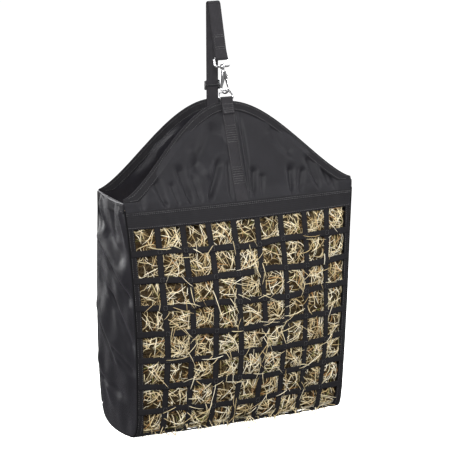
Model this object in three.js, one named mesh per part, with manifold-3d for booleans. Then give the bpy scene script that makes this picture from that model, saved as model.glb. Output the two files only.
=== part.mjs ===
// A hanging hay bag: nylon back, gussets and base, a webbing-grid front, and a front yoke that folds
// down. A snap hook on the hanging strap clips the yoke's D-ring. Millimetres, +Z up, front towards
// -Y. The origin is the inside of the hanging loop, where a stable hook carries the bag.
import * as THREE from 'three';
import { mergeVertices } from 'three/addons/utils/BufferGeometryUtils.js';
import Module from 'manifold-3d';

const wasm = await Module();
wasm.setup();
const { lerp, clamp, degToRad } = THREE.MathUtils;

// The bag, with heights counted from its base.
const TOP_WIDTH = 480;
const WAIST = 21; // how far each front edge draws in from the mouth to the base
const BACK_SWELL = 4; // how far each back edge stands out below the mouth
const CORNER_Z = 460; // the corners of the mouth
const CLOTH = 1.6;
const WEB = 1.3; // thickness of the light webbing
const GAP = 0.4; // left between pieces that touch
const BACK_Y = 85; // outer face of the back panel
const BACK_FOOT = 36; // where the back panel meets the base
const BACK_RISE = 157; // of the back panel's peak above the mouth corners
const BELL_POWER = 0.7;
const BELL_STEPS = 24;

// Section of the bag from the mouth down the front, under the base and up to the back panel: [y, z].
const SECTION = [
  [-43, 460], [-49, 400], [-54, 320], [-57, 240], [-56, 150], [-52, 70],
  [-48, 28], [-37, 2], [-8, -5], [30, -6], [61, -1], [78, 12], [83.2, BACK_FOOT],
];
const FRONT_BULGE = 42; // how far the hay pushes out the middle of the front

// Distances down the front, measured round the section from the mouth.
const YOKE_END = 18;
const BAND_END = 50;
const NET_END = 490;
const HEM_END = 514;
const FOOT_T = 475; // where the front turns under
const CELL = 52; // pitch of the grid, both ways
const COLUMNS = 9;
const CROSS_STRAPS = 8;
const GRID_WEB = 12;
const SEAM_CLEAR = 1.3; // kept between a gusset and the cloth it is sewn to
const HAY_CLEAR = 4.5;
const CROSS_LIFT = 2.1; // the cross straps lie outside the upright ones

// The front yoke is a flat panel that leans back from the mouth, in a frame of its own.
const YOKE_LEAN = degToRad(21.2);
const YOKE_LENGTH = 174;
const TAPE = 18;

// The 25 mm strap and its metal.
const STRAP = 25;
const STRAP_THICK = 1.6;
const RING_WIRE = 1.9; // radius
const RING_HALF = 14.4; // half the ring's width, to the middle of the wire
const RING_RISE = 16; // from the middle of its bar to the middle of its arch
const BAR_Y = -3.4; // the ring's bar, in front of the yoke
const BAR_Z = YOKE_LENGTH + 6;
const LOOP_R = 5.5; // mid radius of the hanging loop
const PULL_LEAN = degToRad(17); // lean of the taut front leg
const LEG_LENGTH = 167; // from the ring's arch to the hanging loop
const LEG_THICK = 3.4; // the front leg is doubled
const BACK_LEG_Y = 82.2;
const BACK_LEG_FOOT = 540;
const ADJUSTER_Z = 645;

// The snap, in a frame whose origin is the ring's arch and whose z runs up the strap.
const EYE_Z = 62.3;
const EYE_HALF = 16.5;
const HOOK_R = 9;
const HOOK_Z = 3.5;
const HOOK_WIRE = 2;
const SNAP_THICK = 7.4;
const SLOT = 3.8;
const PIN = [-3.2, 35]; // the trigger's pin
const SNAP_TURN = degToRad(23.4);

const NYLON = { color: 0x1d1c20, roughness: 0.6, metalness: 0 };
const WEBBING = { color: 0x17161a, roughness: 0.8, metalness: 0 };
const CHROME = { color: 0xc8c9cc, roughness: 0.25, metalness: 1 };
const PLASTIC = { color: 0x0c0c0e, roughness: 0.45, metalness: 0 };
const HAY = { color: 0xb99d5f, roughness: 1, metalness: 0 };

// Keeps only the positions and joins shared vertices, so that the mesh is closed.
function closed(geometry) {
  geometry.deleteAttribute('normal');
  geometry.deleteAttribute('uv');
  return mergeVertices(geometry, 1e-4);
}

function mesh(name, geometry, finish) {
  const piece = new THREE.Mesh(closed(geometry), new THREE.MeshStandardMaterial(finish));
  piece.name = name;
  return piece;
}

function toSolid(geometry) {
  const g = closed(geometry);
  const triVerts = new Uint32Array(g.index.array);
  const vertProperties = new Float32Array(g.attributes.position.array);
  return new wasm.Manifold(new wasm.Mesh({ numProp: 3, vertProperties, triVerts }));
}

function fromSolid(solid) {
  const { vertProperties, triVerts } = solid.getMesh();
  const g = new THREE.BufferGeometry();
  g.setAttribute('position', new THREE.BufferAttribute(new Float32Array(vertProperties), 3));
  g.setIndex(new THREE.BufferAttribute(new Uint32Array(triVerts), 1));
  return g;
}

function box([x0, x1], [y0, y1], [z0, z1]) {
  const g = new THREE.BoxGeometry(x1 - x0, y1 - y0, z1 - z0);
  return g.translate((x0 + x1) / 2, (y0 + y1) / 2, (z0 + z1) / 2);
}

// Moves every vertex of a geometry to place(x, y, z).
function reshape(geometry, place) {
  const p = geometry.attributes.position;
  for (let i = 0; i < p.count; i += 1) {
    p.setXYZ(i, ...place(p.getX(i), p.getY(i), p.getZ(i)));
  }
  return geometry;
}

function shapeOf(points) {
  return new THREE.Shape(points.map(([a, b]) => new THREE.Vector2(a, b)));
}

// Extrudes an outline drawn in y and z across x, centred, with optional chamfered edges.
function sideways(shape, width, bevel = 0, curveSegments = 6) {
  const g = new THREE.ExtrudeGeometry(shape, {
    depth: width - 2 * bevel,
    bevelEnabled: bevel > 0,
    bevelThickness: bevel,
    bevelSize: bevel,
    bevelOffset: -bevel,
    bevelSegments: 1,
    curveSegments,
  });
  return reshape(g, (y, z, x) => [x + bevel - width / 2, y, z]);
}

// Extrudes an outline drawn in x and z from y0 back to y1, with optional chamfered edges.
function backwards(shape, y0, y1, bevel = 0, curveSegments = 6) {
  const g = sideways(shape, y1 - y0, bevel, curveSegments);
  return reshape(g, (depth, x, z) => [x, (y0 + y1) / 2 - depth, z]);
}

// ---- the bag's cloth ----

// Half the width at a height and a depth: the hay draws the front edges in and keeps the back ones out.
function halfWidth(z, y) {
  const drop = clamp(1 - z / CORNER_Z, 0, 1);
  const front = (WAIST * (1 - Math.exp(-2 * drop))) / (1 - Math.exp(-2));
  const back = 7 * drop ** 6 - BACK_SWELL * Math.sin(Math.PI * clamp(drop - 0.08, 0, 1));
  return TOP_WIDTH / 2 - lerp(front, back, clamp((y + 50) / (BACK_Y + 50), 0, 1));
}

const section = new THREE.SplineCurve(SECTION.map(([y, z]) => new THREE.Vector2(y, z)));
section.arcLengthDivisions = 800;
const SECTION_LENGTH = section.getLength();

// A point of the skin: u runs from -1 at the left side to 1 at the right, t is the distance round the
// section from the mouth, and offset is outwards.
function skin(u, t, offset) {
  const share = t / SECTION_LENGTH;
  const at = section.getPointAt(share);
  const along = section.getTangentAt(share);
  const swell = t < NET_END ? FRONT_BULGE * (1 - u * u) * Math.sin((Math.PI * t) / NET_END) : 0;
  const z = at.y - offset * along.x;
  const y = at.x + offset * along.y;
  return [u * halfWidth(z, y), y - swell, z];
}

// A strip or panel of cloth: a box bent onto the skin.
function cloth([u0, u1], [t0, t1], [inner, outer], [uSteps, tSteps]) {
  const flat = new THREE.BoxGeometry(1, 1, 1, uSteps, 1, tSteps);
  const place = (x, y, z) => skin(
    lerp(u0, u1, x + 0.5),
    lerp(t0, t1, 0.5 - z),
    lerp(inner, outer, 0.5 - y),
  );
  return reshape(flat, place);
}

function bellEdge(halfSpan, rise, base) {
  const edge = [];
  for (let i = 0; i <= BELL_STEPS; i += 1) {
    const s = 1 - (2 * i) / BELL_STEPS;
    edge.push([s * halfSpan, base + rise * ((1 + Math.cos(Math.PI * s)) / 2) ** BELL_POWER]);
  }
  return edge;
}

// The tape along a bell-shaped edge: its height below the edge shrinks to a little at the corners.
function bellTape(halfSpan, rise, base) {
  const edge = bellEdge(halfSpan, rise, base);
  const inner = edge.map(([x, z], i) => {
    const [ax, az] = edge[Math.max(i - 1, 0)];
    const [bx, bz] = edge[Math.min(i + 1, BELL_STEPS)];
    const slope = (bz - az) / (ax - bx);
    const depth = TAPE * Math.hypot(1, slope);
    return [x, z - Math.min(depth, 4 + z - base)];
  });
  return shapeOf([...edge, ...inner.reverse()]);
}

function backPanel() {
  const heights = [BACK_FOOT + 1, 120, 240, 350];
  const right = heights.map((z) => [halfWidth(z, BACK_Y), z]);
  const left = right.map(([x, z]) => [-x, z]).reverse();
  const top = bellEdge(TOP_WIDTH / 2, BACK_RISE, CORNER_Z);
  return backwards(shapeOf([...right, ...top, ...left]), BACK_Y - CLOTH, BACK_Y);
}

// A point inside the bag's section, blended from its four edges: a runs from the front to the back and
// d from the mouth down to the base. inset is the distance kept from the cloth.
function within(u, a, d, inset) {
  const backY = BACK_Y - CLOTH - inset;
  const front = (share) => skin(u, FOOT_T * share, -inset).slice(1);
  const foot = (share) => skin(u, lerp(FOOT_T, SECTION_LENGTH, share), -inset).slice(1);
  const mouth = [lerp(front(0)[0], backY, a), CORNER_Z];
  const back = [backY, lerp(CORNER_Z, BACK_FOOT, d)];
  const [y, z] = [0, 1].map((i) => {
    const ends = lerp(mouth[i], foot(a)[i], d) + lerp(front(d)[i], back[i], a);
    const top = lerp(front(0)[i], [backY, CORNER_Z][i], a);
    const bottom = lerp(foot(0)[i], [backY, BACK_FOOT][i], a);
    return ends - lerp(top, bottom, d);
  });
  return [Math.min(y, backY), z];
}

function gusset(side) {
  const flat = new THREE.BoxGeometry(CLOTH, 1, 1, 1, 5, 14);
  return reshape(flat, (x, y, z) => {
    const [at, height] = within(side, y + 0.5, 0.5 - z, SEAM_CLEAR);
    return [side * (halfWidth(height, at) - CLOTH / 2) + x, at, height];
  });
}

function gussetHem(side) {
  const out = TOP_WIDTH / 2 + GAP + WEB / 2;
  const hem = box([-WEB / 2, WEB / 2], [-40, BACK_Y - CLOTH], [CORNER_Z - 20, CORNER_Z]);
  return hem.translate(side * out, 0, 0);
}

// The bound seam between a gusset and the back panel, on the inside.
function backSeam(side) {
  const tape = new THREE.BoxGeometry(12, WEB, 1, 1, 1, 6);
  const y = BACK_Y - CLOTH - GAP - WEB / 2;
  return reshape(tape, (x, depth, share) => {
    const z = lerp(60, 430, share + 0.5);
    return [side * (halfWidth(z, y - 10) - CLOTH - GAP - 6) + x, y + depth, z];
  });
}

// Loose hay up to just below the mouth, a little clear of the cloth all round.
function hayFill() {
  const flat = new THREE.BoxGeometry(1, 1, 1, 10, 4, 10);
  return reshape(flat, (x, y, z) => {
    const u = 1.94 * x;
    const dome = 10 * Math.cos((Math.PI * u) / 2) * Math.sin(Math.PI * (y + 0.5));
    const [at, height] = within(u, y + 0.5, lerp(0.13, 1, 0.5 - z), HAY_CLEAR);
    return [u * halfWidth(height, at), at, height + dome * (z + 0.5)];
  });
}

// ---- yoke, D-ring and tab, in the yoke's frame: x across, z up the panel, front towards -y ----

function yoke() {
  const foot = [[-TOP_WIDTH / 2, 2], [TOP_WIDTH / 2, 2]];
  const edge = bellEdge(TOP_WIDTH / 2, YOKE_LENGTH - 6, 6);
  return backwards(shapeOf([...foot, ...edge]), 0, CLOTH);
}

function yokeTape() {
  const tape = bellTape(TOP_WIDTH / 2, YOKE_LENGTH - 6, 6);
  return backwards(tape, -GAP - WEB, -GAP);
}

// Webbing folded round a bar at [y, z], with its tail going off along the direction given.
function foldedWeb([y, z], [inner, outer], angle, length, tailHalf, width) {
  const dir = new THREE.Vector2(Math.cos(angle), Math.sin(angle));
  const off = new THREE.Vector2(-dir.y, dir.x).multiplyScalar(tailHalf);
  const spread = Math.asin(tailHalf / outer);
  const end = new THREE.Vector2(y, z).addScaledVector(dir, length);
  const shape = new THREE.Shape();
  shape.moveTo(end.x - off.x, end.y - off.y);
  shape.lineTo(end.x + off.x, end.y + off.y);
  shape.absarc(y, z, outer, angle + spread, angle - spread + 2 * Math.PI, false);
  shape.closePath();
  const hole = new THREE.Path();
  hole.absarc(y, z, inner, 0, 2 * Math.PI, true);
  shape.holes.push(hole);
  return sideways(shape, width);
}

function ringTab() {
  const down = degToRad(-90);
  return foldedWeb([BAR_Y, BAR_Z], [RING_WIRE + 0.5, RING_WIRE + 0.5 + WEB], down, 26, 0.7, 24);
}

// The D, its outline moved in or out from the middle of the wire.
function dOutline(move) {
  const half = RING_HALF + move;
  const points = [[-half, -move], [half, -move]];
  const steps = 14;
  for (let i = 0; i <= steps; i += 1) {
    const a = (Math.PI * i) / steps;
    points.push([half * Math.cos(a), 2 + (RING_RISE - 2 + move) * Math.sin(a)]);
  }
  return points;
}

function dRing() {
  const shape = shapeOf(dOutline(RING_WIRE));
  shape.holes.push(shapeOf(dOutline(-RING_WIRE).reverse()));
  return backwards(shape, BAR_Y - RING_WIRE, BAR_Y + RING_WIRE, 0.8).translate(0, 0, BAR_Z);
}

// ---- hanging strap ----

// The back leg rises inside the back panel, and turns over the hanging loop.
function backStrap([loopY, loopZ]) {
  const h = STRAP_THICK / 2;
  const end = Math.PI - PULL_LEAN;
  const shape = new THREE.Shape();
  shape.moveTo(BACK_LEG_Y + h, BACK_LEG_FOOT);
  shape.absarc(loopY, loopZ, LOOP_R + h, 0, end, false);
  shape.absarc(loopY, loopZ, LOOP_R - h, end, 0, true);
  shape.lineTo(BACK_LEG_Y - h, BACK_LEG_FOOT);
  shape.closePath();
  return sideways(shape, STRAP, 0, 10);
}

// A frame with a middle bar: the strap runs in front of the outer bars and behind the middle one.
function adjuster(y) {
  const half = 16;
  const rail = STRAP / 2 + 0.6;
  const face = STRAP_THICK / 2 + 0.4;
  const parts = [
    box([-half, -rail], [y - face - 2, y + face + 2], [-9, 9]),
    box([rail, half], [y - face - 2, y + face + 2], [-9, 9]),
    box([-half, half], [y + face, y + face + 2], [-9, -5.5]),
    box([-half, half], [y + face, y + face + 2], [5.5, 9]),
    box([-half, half], [y - face - 2, y - face], [-2, 2]),
  ];
  const whole = parts.map(toSolid).reduce((sum, part) => sum.add(part));
  return fromSolid(whole).translate(0, 0, ADJUSTER_Z);
}

// ---- snap, in its own frame: z up the strap from the ring's arch ----

function roundedBox(half, z0, z1, corner) {
  const s = new THREE.Shape();
  s.absarc(half - corner, z0 + corner, corner, -Math.PI / 2, 0);
  s.absarc(half - corner, z1 - corner, corner, 0, Math.PI / 2);
  s.absarc(corner - half, z1 - corner, corner, Math.PI / 2, Math.PI);
  s.absarc(corner - half, z0 + corner, corner, Math.PI, 1.5 * Math.PI);
  s.closePath();
  return s;
}

// The eye is a rectangular loop with a collar for the swivel's stem below its lower bar.
function snapEye() {
  const frame = roundedBox(EYE_HALF, EYE_Z - 18.5, EYE_Z + 1.8, 4);
  frame.holes.push(roundedBox(STRAP / 2 + 0.8, EYE_Z - 13.5, EYE_Z - 1.8, 1.5));
  const collar = new THREE.CylinderGeometry(5, 4.4, 6.4, 16).rotateX(Math.PI / 2);
  const bore = new THREE.CylinderGeometry(2.7, 2.7, 30, 16).rotateX(Math.PI / 2);
  const plate = toSolid(backwards(frame, -2, 2, 0.8, 3));
  const round = toSolid(collar.translate(0, 0, EYE_Z - 17.2));
  return fromSolid(plate.add(round).subtract(toSolid(bore.translate(0, 0, EYE_Z - 22))));
}

// The hook is drawn in y and z, with its open side to the front. Its shank is thicker, and slotted.
function snapHook() {
  const start = degToRad(180);
  const hook = new THREE.Shape();
  hook.absarc(0, HOOK_Z, HOOK_R + HOOK_WIRE, start, degToRad(385), false);
  hook.absarc(0, HOOK_Z, HOOK_R - HOOK_WIRE, degToRad(408), start, true);
  hook.closePath();
  const shank = shapeOf([
    [9.3, 7], [8.8, 12], [6.6, 24], [4.2, 41], [-5.4, 41], [-6.2, 30], [-2.4, 14], [5.6, 7.7],
  ]);
  shank.holes.push(pinHole());
  const slot = box([-SLOT / 2, SLOT / 2], [-20, 5], [13.5, 38]);
  const stem = new THREE.CylinderGeometry(2.2, 2.2, 12, 14).rotateX(Math.PI / 2);
  const head = new THREE.CylinderGeometry(3.6, 3.6, 2, 14).rotateX(Math.PI / 2);
  const solid = toSolid(sideways(hook, 2 * HOOK_WIRE, 0, 14))
    .add(toSolid(sideways(shank, SNAP_THICK)))
    .subtract(toSolid(slot))
    .add(toSolid(stem.translate(0, 0, 44)))
    .add(toSolid(head.translate(0, 0, EYE_Z - 12)));
  return fromSolid(solid);
}

function pinHole() {
  const hole = new THREE.Path();
  hole.absarc(PIN[0], PIN[1], 1.5, 0, 2 * Math.PI, true);
  return hole;
}

// The trigger closes the hook's open side and swings inwards about its pin.
function trigger() {
  const outline = [
    [-1.4, 36.6], [-5, 36.6], [-7.6, 30], [-11.4, 25], [-11, 21.5], [-8.8, 21],
    [-10.9, 8], [-10.9, 4.4], [-7.3, 4.4], [-5.4, 13], [-2.6, 24],
  ];
  const shape = shapeOf(outline);
  shape.holes.push(pinHole());
  return sideways(shape, SLOT - 2 * GAP);
}

function triggerPin() {
  const pin = new THREE.CylinderGeometry(1.1, 1.1, SNAP_THICK + 1, 12).rotateZ(Math.PI / 2);
  return pin.translate(0, PIN[0], PIN[1]);
}

// A bent leaf in the slot, which presses the trigger shut.
function triggerSpring() {
  const leaf = [[3.9, 33], [3.3, 33], [0.6, 22], [-0.6, 26], [-1.1, 25.6], [0.4, 20.4], [1, 20.4]];
  return sideways(shapeOf(leaf.reverse()), 2.4);
}

// ---- assembly ----

const SIDES = [['left', -1], ['right', 1]];
const bag = new THREE.Group();

function addPanels() {
  bag.add(mesh('back_panel', backPanel(), NYLON));
  bag.add(mesh('base_panel', cloth([-1, 1], [HEM_END + GAP, SECTION_LENGTH], [0, CLOTH], [4, 12]), NYLON));
  bag.add(mesh('yoke_foot', cloth([-1, 1], [2, YOKE_END], [0, CLOTH], [12, 1]), NYLON));
  for (const [word, side] of SIDES) {
    bag.add(mesh(`${word}_gusset`, gusset(side), NYLON));
    bag.add(mesh(`${word}_gusset_hem`, gussetHem(side), WEBBING));
    bag.add(mesh(`${word}_back_seam`, backSeam(side), WEBBING));
  }
}

function addNet() {
  const light = [0, WEB];
  bag.add(mesh('net_top_band', cloth([-1, 1], [YOKE_END + GAP, BAND_END], light, [12, 2]), WEBBING));
  bag.add(mesh('net_bottom_band', cloth([-1, 1], [NET_END + GAP, HEM_END], light, [8, 4]), WEBBING));
  const inside = [BAND_END + GAP, NET_END];
  const bandShare = (2 * GRID_WEB) / TOP_WIDTH;
  for (const [word, side] of SIDES) {
    const edges = [side, side * (1 - bandShare)].sort((a, b) => a - b);
    bag.add(mesh(`net_${word}_band`, cloth(edges, inside, light, [1, 24]), WEBBING));
  }
  for (let i = 1; i < COLUMNS; i += 1) {
    const u = ((i - COLUMNS / 2) * CELL * 2) / TOP_WIDTH;
    const edges = [u - bandShare / 2, u + bandShare / 2];
    bag.add(mesh(`net_upright_${i}`, cloth(edges, inside, light, [1, 24]), WEBBING));
  }
  for (let i = 1; i <= CROSS_STRAPS; i += 1) {
    const t = BAND_END + i * CELL - GRID_WEB / 2;
    const span = [t - GRID_WEB / 2, t + GRID_WEB / 2];
    const lifted = [CROSS_LIFT, CROSS_LIFT + WEB];
    bag.add(mesh(`net_cross_${i}`, cloth([-0.999, 0.999], span, lifted, [12, 1]), WEBBING));
  }
}

function addCentreStrap() {
  const u = STRAP / TOP_WIDTH;
  const lower = cloth([-u, u], [3, BAND_END - 2], [CLOTH + GAP, CLOTH + GAP + WEB], [1, 2]);
  bag.add(mesh('centre_strap_foot', lower, WEBBING));
}

function addYoke() {
  const frame = new THREE.Group();
  frame.position.set(0, SECTION[0][0], CORNER_Z);
  frame.rotation.x = -YOKE_LEAN;
  const tape = [-GAP - WEB, -GAP];
  frame.add(mesh('front_yoke', yoke(), NYLON));
  frame.add(mesh('yoke_binding', yokeTape(), WEBBING));
  frame.add(mesh('centre_strap', box([-STRAP / 2, STRAP / 2], tape, [3, YOKE_LENGTH - TAPE - 3]), WEBBING));
  frame.add(mesh('d_ring_tab', ringTab(), WEBBING));
  frame.add(mesh('d_ring', dRing(), CHROME));
  bag.add(frame);
  frame.updateMatrix();
  return new THREE.Vector3(0, BAR_Y, BAR_Z + RING_RISE).applyMatrix4(frame.matrix);
}

function addBackTape() {
  const edge = bellTape(TOP_WIDTH / 2 - 2.5, BACK_RISE - 1, CORNER_Z);
  const y = BACK_Y - CLOTH - GAP;
  const strap = box([-STRAP / 2 - 1, STRAP / 2 + 1], [y - 9, y + 1], [BACK_LEG_FOOT, 700]);
  const cut = toSolid(backwards(edge, y - WEB, y)).subtract(toSolid(strap)).decompose();
  cut.sort((a, b) => a.boundingBox().min[0] - b.boundingBox().min[0]);
  cut.forEach((half, i) => bag.add(mesh(`${SIDES[i][0]}_back_binding`, fromSolid(half), WEBBING)));
}

function addStrapAndSnap(arch) {
  const up = new THREE.Vector2(Math.sin(PULL_LEAN), Math.cos(PULL_LEAN));
  const top = new THREE.Vector2(arch.y, arch.z).addScaledVector(up, LEG_LENGTH);
  const loop = [top.x + LOOP_R * up.y, top.y - LOOP_R * up.x];
  const legY = lerp(BACK_LEG_Y, loop[0] + LOOP_R, (ADJUSTER_Z - BACK_LEG_FOOT) / (loop[1] - BACK_LEG_FOOT));
  bag.add(mesh('hanging_strap', backStrap(loop), WEBBING));
  bag.add(mesh('strap_adjuster', adjuster(legY), PLASTIC));

  const pull = new THREE.Group();
  pull.position.copy(arch);
  pull.rotation.x = -PULL_LEAN;
  const leg = foldedWeb([0, EYE_Z], [3, 4.6], Math.PI / 2, LEG_LENGTH - EYE_Z - 2, LEG_THICK / 2, STRAP);
  pull.add(mesh('strap_front_leg', leg, WEBBING));
  pull.add(mesh('snap_eye', snapEye(), CHROME));
  const turned = new THREE.Group();
  turned.rotation.z = SNAP_TURN;
  turned.add(mesh('snap_hook', snapHook(), CHROME));
  turned.add(mesh('snap_trigger', trigger(), CHROME));
  turned.add(mesh('trigger_pin', triggerPin(), CHROME));
  turned.add(mesh('trigger_spring', triggerSpring(), CHROME));
  pull.add(turned);
  bag.add(pull);
  return loop;
}

addPanels();
addNet();
addCentreStrap();
bag.add(mesh('hay_fill', hayFill(), HAY));
addBackTape();
const arch = addYoke();
const [loopY, loopZ] = addStrapAndSnap(arch);
bag.position.set(0, -loopY, -(loopZ + LOOP_R - STRAP_THICK / 2));

const assembly = new THREE.Group();
assembly.add(bag);
export default assembly;
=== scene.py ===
"""Looks of a hanging hay bag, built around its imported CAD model.

Shapes are worked out in the bag's own millimetres, as in the CAD (x to the right, y to the back, z up
from the base), and to_row() turns them into the row frame's metres.
"""

import math

import bmesh
import bpy
import numpy as np
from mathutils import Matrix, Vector


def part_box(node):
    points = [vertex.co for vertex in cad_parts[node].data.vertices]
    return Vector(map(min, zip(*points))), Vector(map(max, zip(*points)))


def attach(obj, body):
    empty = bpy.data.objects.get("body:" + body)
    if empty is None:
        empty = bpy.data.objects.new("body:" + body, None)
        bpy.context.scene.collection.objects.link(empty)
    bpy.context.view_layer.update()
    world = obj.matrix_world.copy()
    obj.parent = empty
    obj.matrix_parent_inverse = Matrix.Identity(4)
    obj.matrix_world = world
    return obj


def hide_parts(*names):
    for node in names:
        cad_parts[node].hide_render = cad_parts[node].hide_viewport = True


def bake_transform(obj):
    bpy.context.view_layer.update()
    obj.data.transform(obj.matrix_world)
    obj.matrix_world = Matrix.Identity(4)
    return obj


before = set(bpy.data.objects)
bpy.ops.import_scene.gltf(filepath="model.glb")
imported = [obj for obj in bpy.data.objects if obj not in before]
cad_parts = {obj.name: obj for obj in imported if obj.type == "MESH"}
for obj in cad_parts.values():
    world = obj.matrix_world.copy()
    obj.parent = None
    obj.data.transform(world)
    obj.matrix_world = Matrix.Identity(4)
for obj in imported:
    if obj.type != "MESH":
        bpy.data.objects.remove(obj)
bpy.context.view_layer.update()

# ---- the bag, as in the CAD ----

TOP_WIDTH, WAIST, BACK_SWELL, CORNER_Z = 480, 21, 4, 460
CLOTH, WEB = 1.6, 1.3
BACK_Y, BACK_FOOT, BACK_RISE, BELL_POWER = 85, 36, 157, 0.7
SECTION = [
    (-43, 460), (-49, 400), (-54, 320), (-57, 240), (-56, 150), (-52, 70),
    (-48, 28), (-37, 2), (-8, -5), (30, -6), (61, -1), (78, 12), (83.2, 36),
]
FRONT_BULGE = 42
YOKE_END, BAND_END, NET_END, HEM_END, FOOT_T = 18, 50, 490, 514, 475
CELL, COLUMNS, CROSS_STRAPS, GRID_WEB = 52, 9, 8, 12
YOKE_LEAN, YOKE_LENGTH, TAPE = math.radians(21.2), 174, 18
STRAP, STRAP_THICK, LEG_LENGTH = 25, 1.6, 167
RING_WIRE, RING_HALF, RING_RISE, BAR_Y, BAR_Z = 1.9, 14.4, 16, -3.4, 180
LOOP_R, PULL_LEAN, BACK_LEG_Y, BACK_LEG_FOOT, ADJUSTER_Z = 5.5, math.radians(17), 82.2, 540, 645
EYE_Z, EYE_HALF, HOOK_R, HOOK_Z, PIN = 62.3, 16.5, 9, 3.5, (-3.2, 35)
SNAP_TURN = math.radians(23.4)

low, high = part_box("back_panel")
ORIGIN = np.array([0.0, 1000 * high.y - BACK_Y, 1000 * low.z - BACK_FOOT - 1])


def stacked(*values):
    """Numbers and arrays of matching shapes, put together as points or as pairs."""
    return np.stack(np.broadcast_arrays(*(np.asarray(v, float) for v in values)), -1)


def unit(v):
    return v / np.linalg.norm(v, axis=-1, keepdims=True)


def distances(path):
    """How far along a path each of its points lies."""
    return np.concatenate([[0], np.cumsum(np.linalg.norm(np.diff(path, axis=0), axis=1))])


def to_row(points):
    return (np.asarray(points, float) + ORIGIN) / 1000


def point(x, y, z):
    return tuple(to_row([x, y, z]))


def half_width(z, y):
    drop = np.clip(1 - np.asarray(z, float) / CORNER_Z, 0, 1)
    front = WAIST * (1 - np.exp(-2 * drop)) / (1 - math.exp(-2))
    back = 7 * drop**6 - BACK_SWELL * np.sin(np.pi * np.clip(drop - 0.08, 0, 1))
    return TOP_WIDTH / 2 - lerp(front, back, np.clip((y + 50) / (BACK_Y + 50), 0, 1))


def section_table():
    """Distances round the section, with the point and the direction at each."""
    known = np.array(SECTION, float)
    last = len(known) - 1
    p = np.linspace(0, last, 6001)
    i = np.minimum(p.astype(int), last - 1)
    f = (p - i)[:, None]
    a, b, c, d = (known[np.clip(i + k, 0, last)] for k in (-1, 0, 1, 2))
    v0, v1 = (c - a) / 2, (d - b) / 2
    line = (2 * b - 2 * c + v0 + v1) * f**3 + (3 * c - 3 * b - 2 * v0 - v1) * f**2 + v0 * f + b
    lengths = distances(line)
    return lengths, line, np.gradient(line, lengths, axis=0)


LENGTHS, LINE, ALONG = section_table()
SECTION_LENGTH = LENGTHS[-1]


def skin(u, t, offset=0.0):
    """A point of the bag's skin: u from -1 at the left to 1, t down the front and round, offset outwards."""
    u, t, offset = np.broadcast_arrays(*(np.asarray(v, float) for v in (u, t, offset)))
    y, z, dy, dz = (np.interp(t, LENGTHS, column) for column in (*LINE.T, *ALONG.T))
    swell = np.where(t < NET_END, FRONT_BULGE * (1 - u * u) * np.sin(np.pi * t / NET_END), 0)
    z, y = z - offset * dy, y + offset * dz
    return np.stack([u * half_width(z, y), y - swell, z], -1)


def lerp(a, b, f):
    return a + (b - a) * f


def smooth(x, low=0.0, high=1.0):
    x = np.clip((np.asarray(x, float) - low) / (high - low), 0, 1)
    return x * x * (3 - 2 * x)


def within(u, a, d, inset):
    """A point inside the bag: a from the front to the back, d from the mouth to the base."""
    u, a, d = np.broadcast_arrays(*(np.asarray(v, float) for v in (u, a, d)))
    back_y = BACK_Y - CLOTH - inset
    front = skin(u, FOOT_T * d, -inset)[..., 1:]
    foot = skin(u, lerp(FOOT_T, SECTION_LENGTH, a), -inset)[..., 1:]
    corner = skin(u, 0 * u, -inset)[..., 1:]
    toe = skin(u, FOOT_T + 0 * u, -inset)[..., 1:]
    rim, sole = np.array([back_y, CORNER_Z]), np.array([back_y, BACK_FOOT])
    mouth = np.stack([lerp(corner[..., 0], back_y, a), np.full_like(a, CORNER_Z)], -1)
    back = np.stack([np.full_like(a, back_y), lerp(CORNER_Z, BACK_FOOT, d)], -1)
    a, d = a[..., None], d[..., None]
    y, z = np.moveaxis(
        lerp(mouth, foot, d) + lerp(front, back, a)
        - lerp(lerp(corner, rim, a), lerp(toe, sole, a), d), -1, 0)
    y = np.minimum(y, back_y)
    return np.stack([u * half_width(z, y), y, z], -1)


def bell(x, rise, base):
    """The height of a bell-shaped edge that rises from base at the bag's corners."""
    s = np.clip(np.asarray(x, float) / (TOP_WIDTH / 2), -1, 1)
    return base + rise * ((1 + np.cos(np.pi * s)) / 2) ** BELL_POWER


def turned(origin, lean, x, y, z):
    """Points of a frame that leans back about x, in the bag's millimetres."""
    x, y, z = np.broadcast_arrays(*(np.asarray(v, float) for v in (x, y, z)))
    c, s = math.cos(lean), math.sin(lean)
    return np.stack([x, y * c + z * s, -y * s + z * c], -1) + np.asarray(origin, float)


YOKE_AT = (0, SECTION[0][0], CORNER_Z)


def yoke(x, y, z):
    return turned(YOKE_AT, YOKE_LEAN, x, y, z)


ARCH = yoke(0, BAR_Y, BAR_Z + RING_RISE)


def pull(x, y, z):
    return turned(ARCH, PULL_LEAN, x, y, z)


def snap(x, y, z):
    """The hook's own frame, turned about the strap."""
    x, y, z = np.broadcast_arrays(*(np.asarray(v, float) for v in (x, y, z)))
    c, s = math.cos(SNAP_TURN), math.sin(SNAP_TURN)
    return pull(x * c - y * s, x * s + y * c, z)


YOKE_OUT = yoke(0, -1, 0) - yoke(0, 0, 0)
PULL_OUT = pull(0, -1, 0) - pull(0, 0, 0)

# ---- meshes ----


def spread(count, edge=0.0):
    """count + 1 places from 0 to 1, evenly apart but for a narrow first and last gap if edge is given."""
    even = np.linspace(edge, 1 - edge, count + 1 if not edge else count - 1)
    return np.concatenate([[0], even, [1]]) if edge else even


def quads(rows, cols, wrap_rows=False, wrap_cols=False):
    r = np.arange(rows if wrap_rows else rows - 1)[:, None]
    c = np.arange(cols if wrap_cols else cols - 1)[None, :]
    r1, c1 = (r + 1) % rows, (c + 1) % cols
    return np.stack([r * cols + c, r * cols + c1, r1 * cols + c1, r1 * cols + c], -1).reshape(-1, 4)


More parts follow.
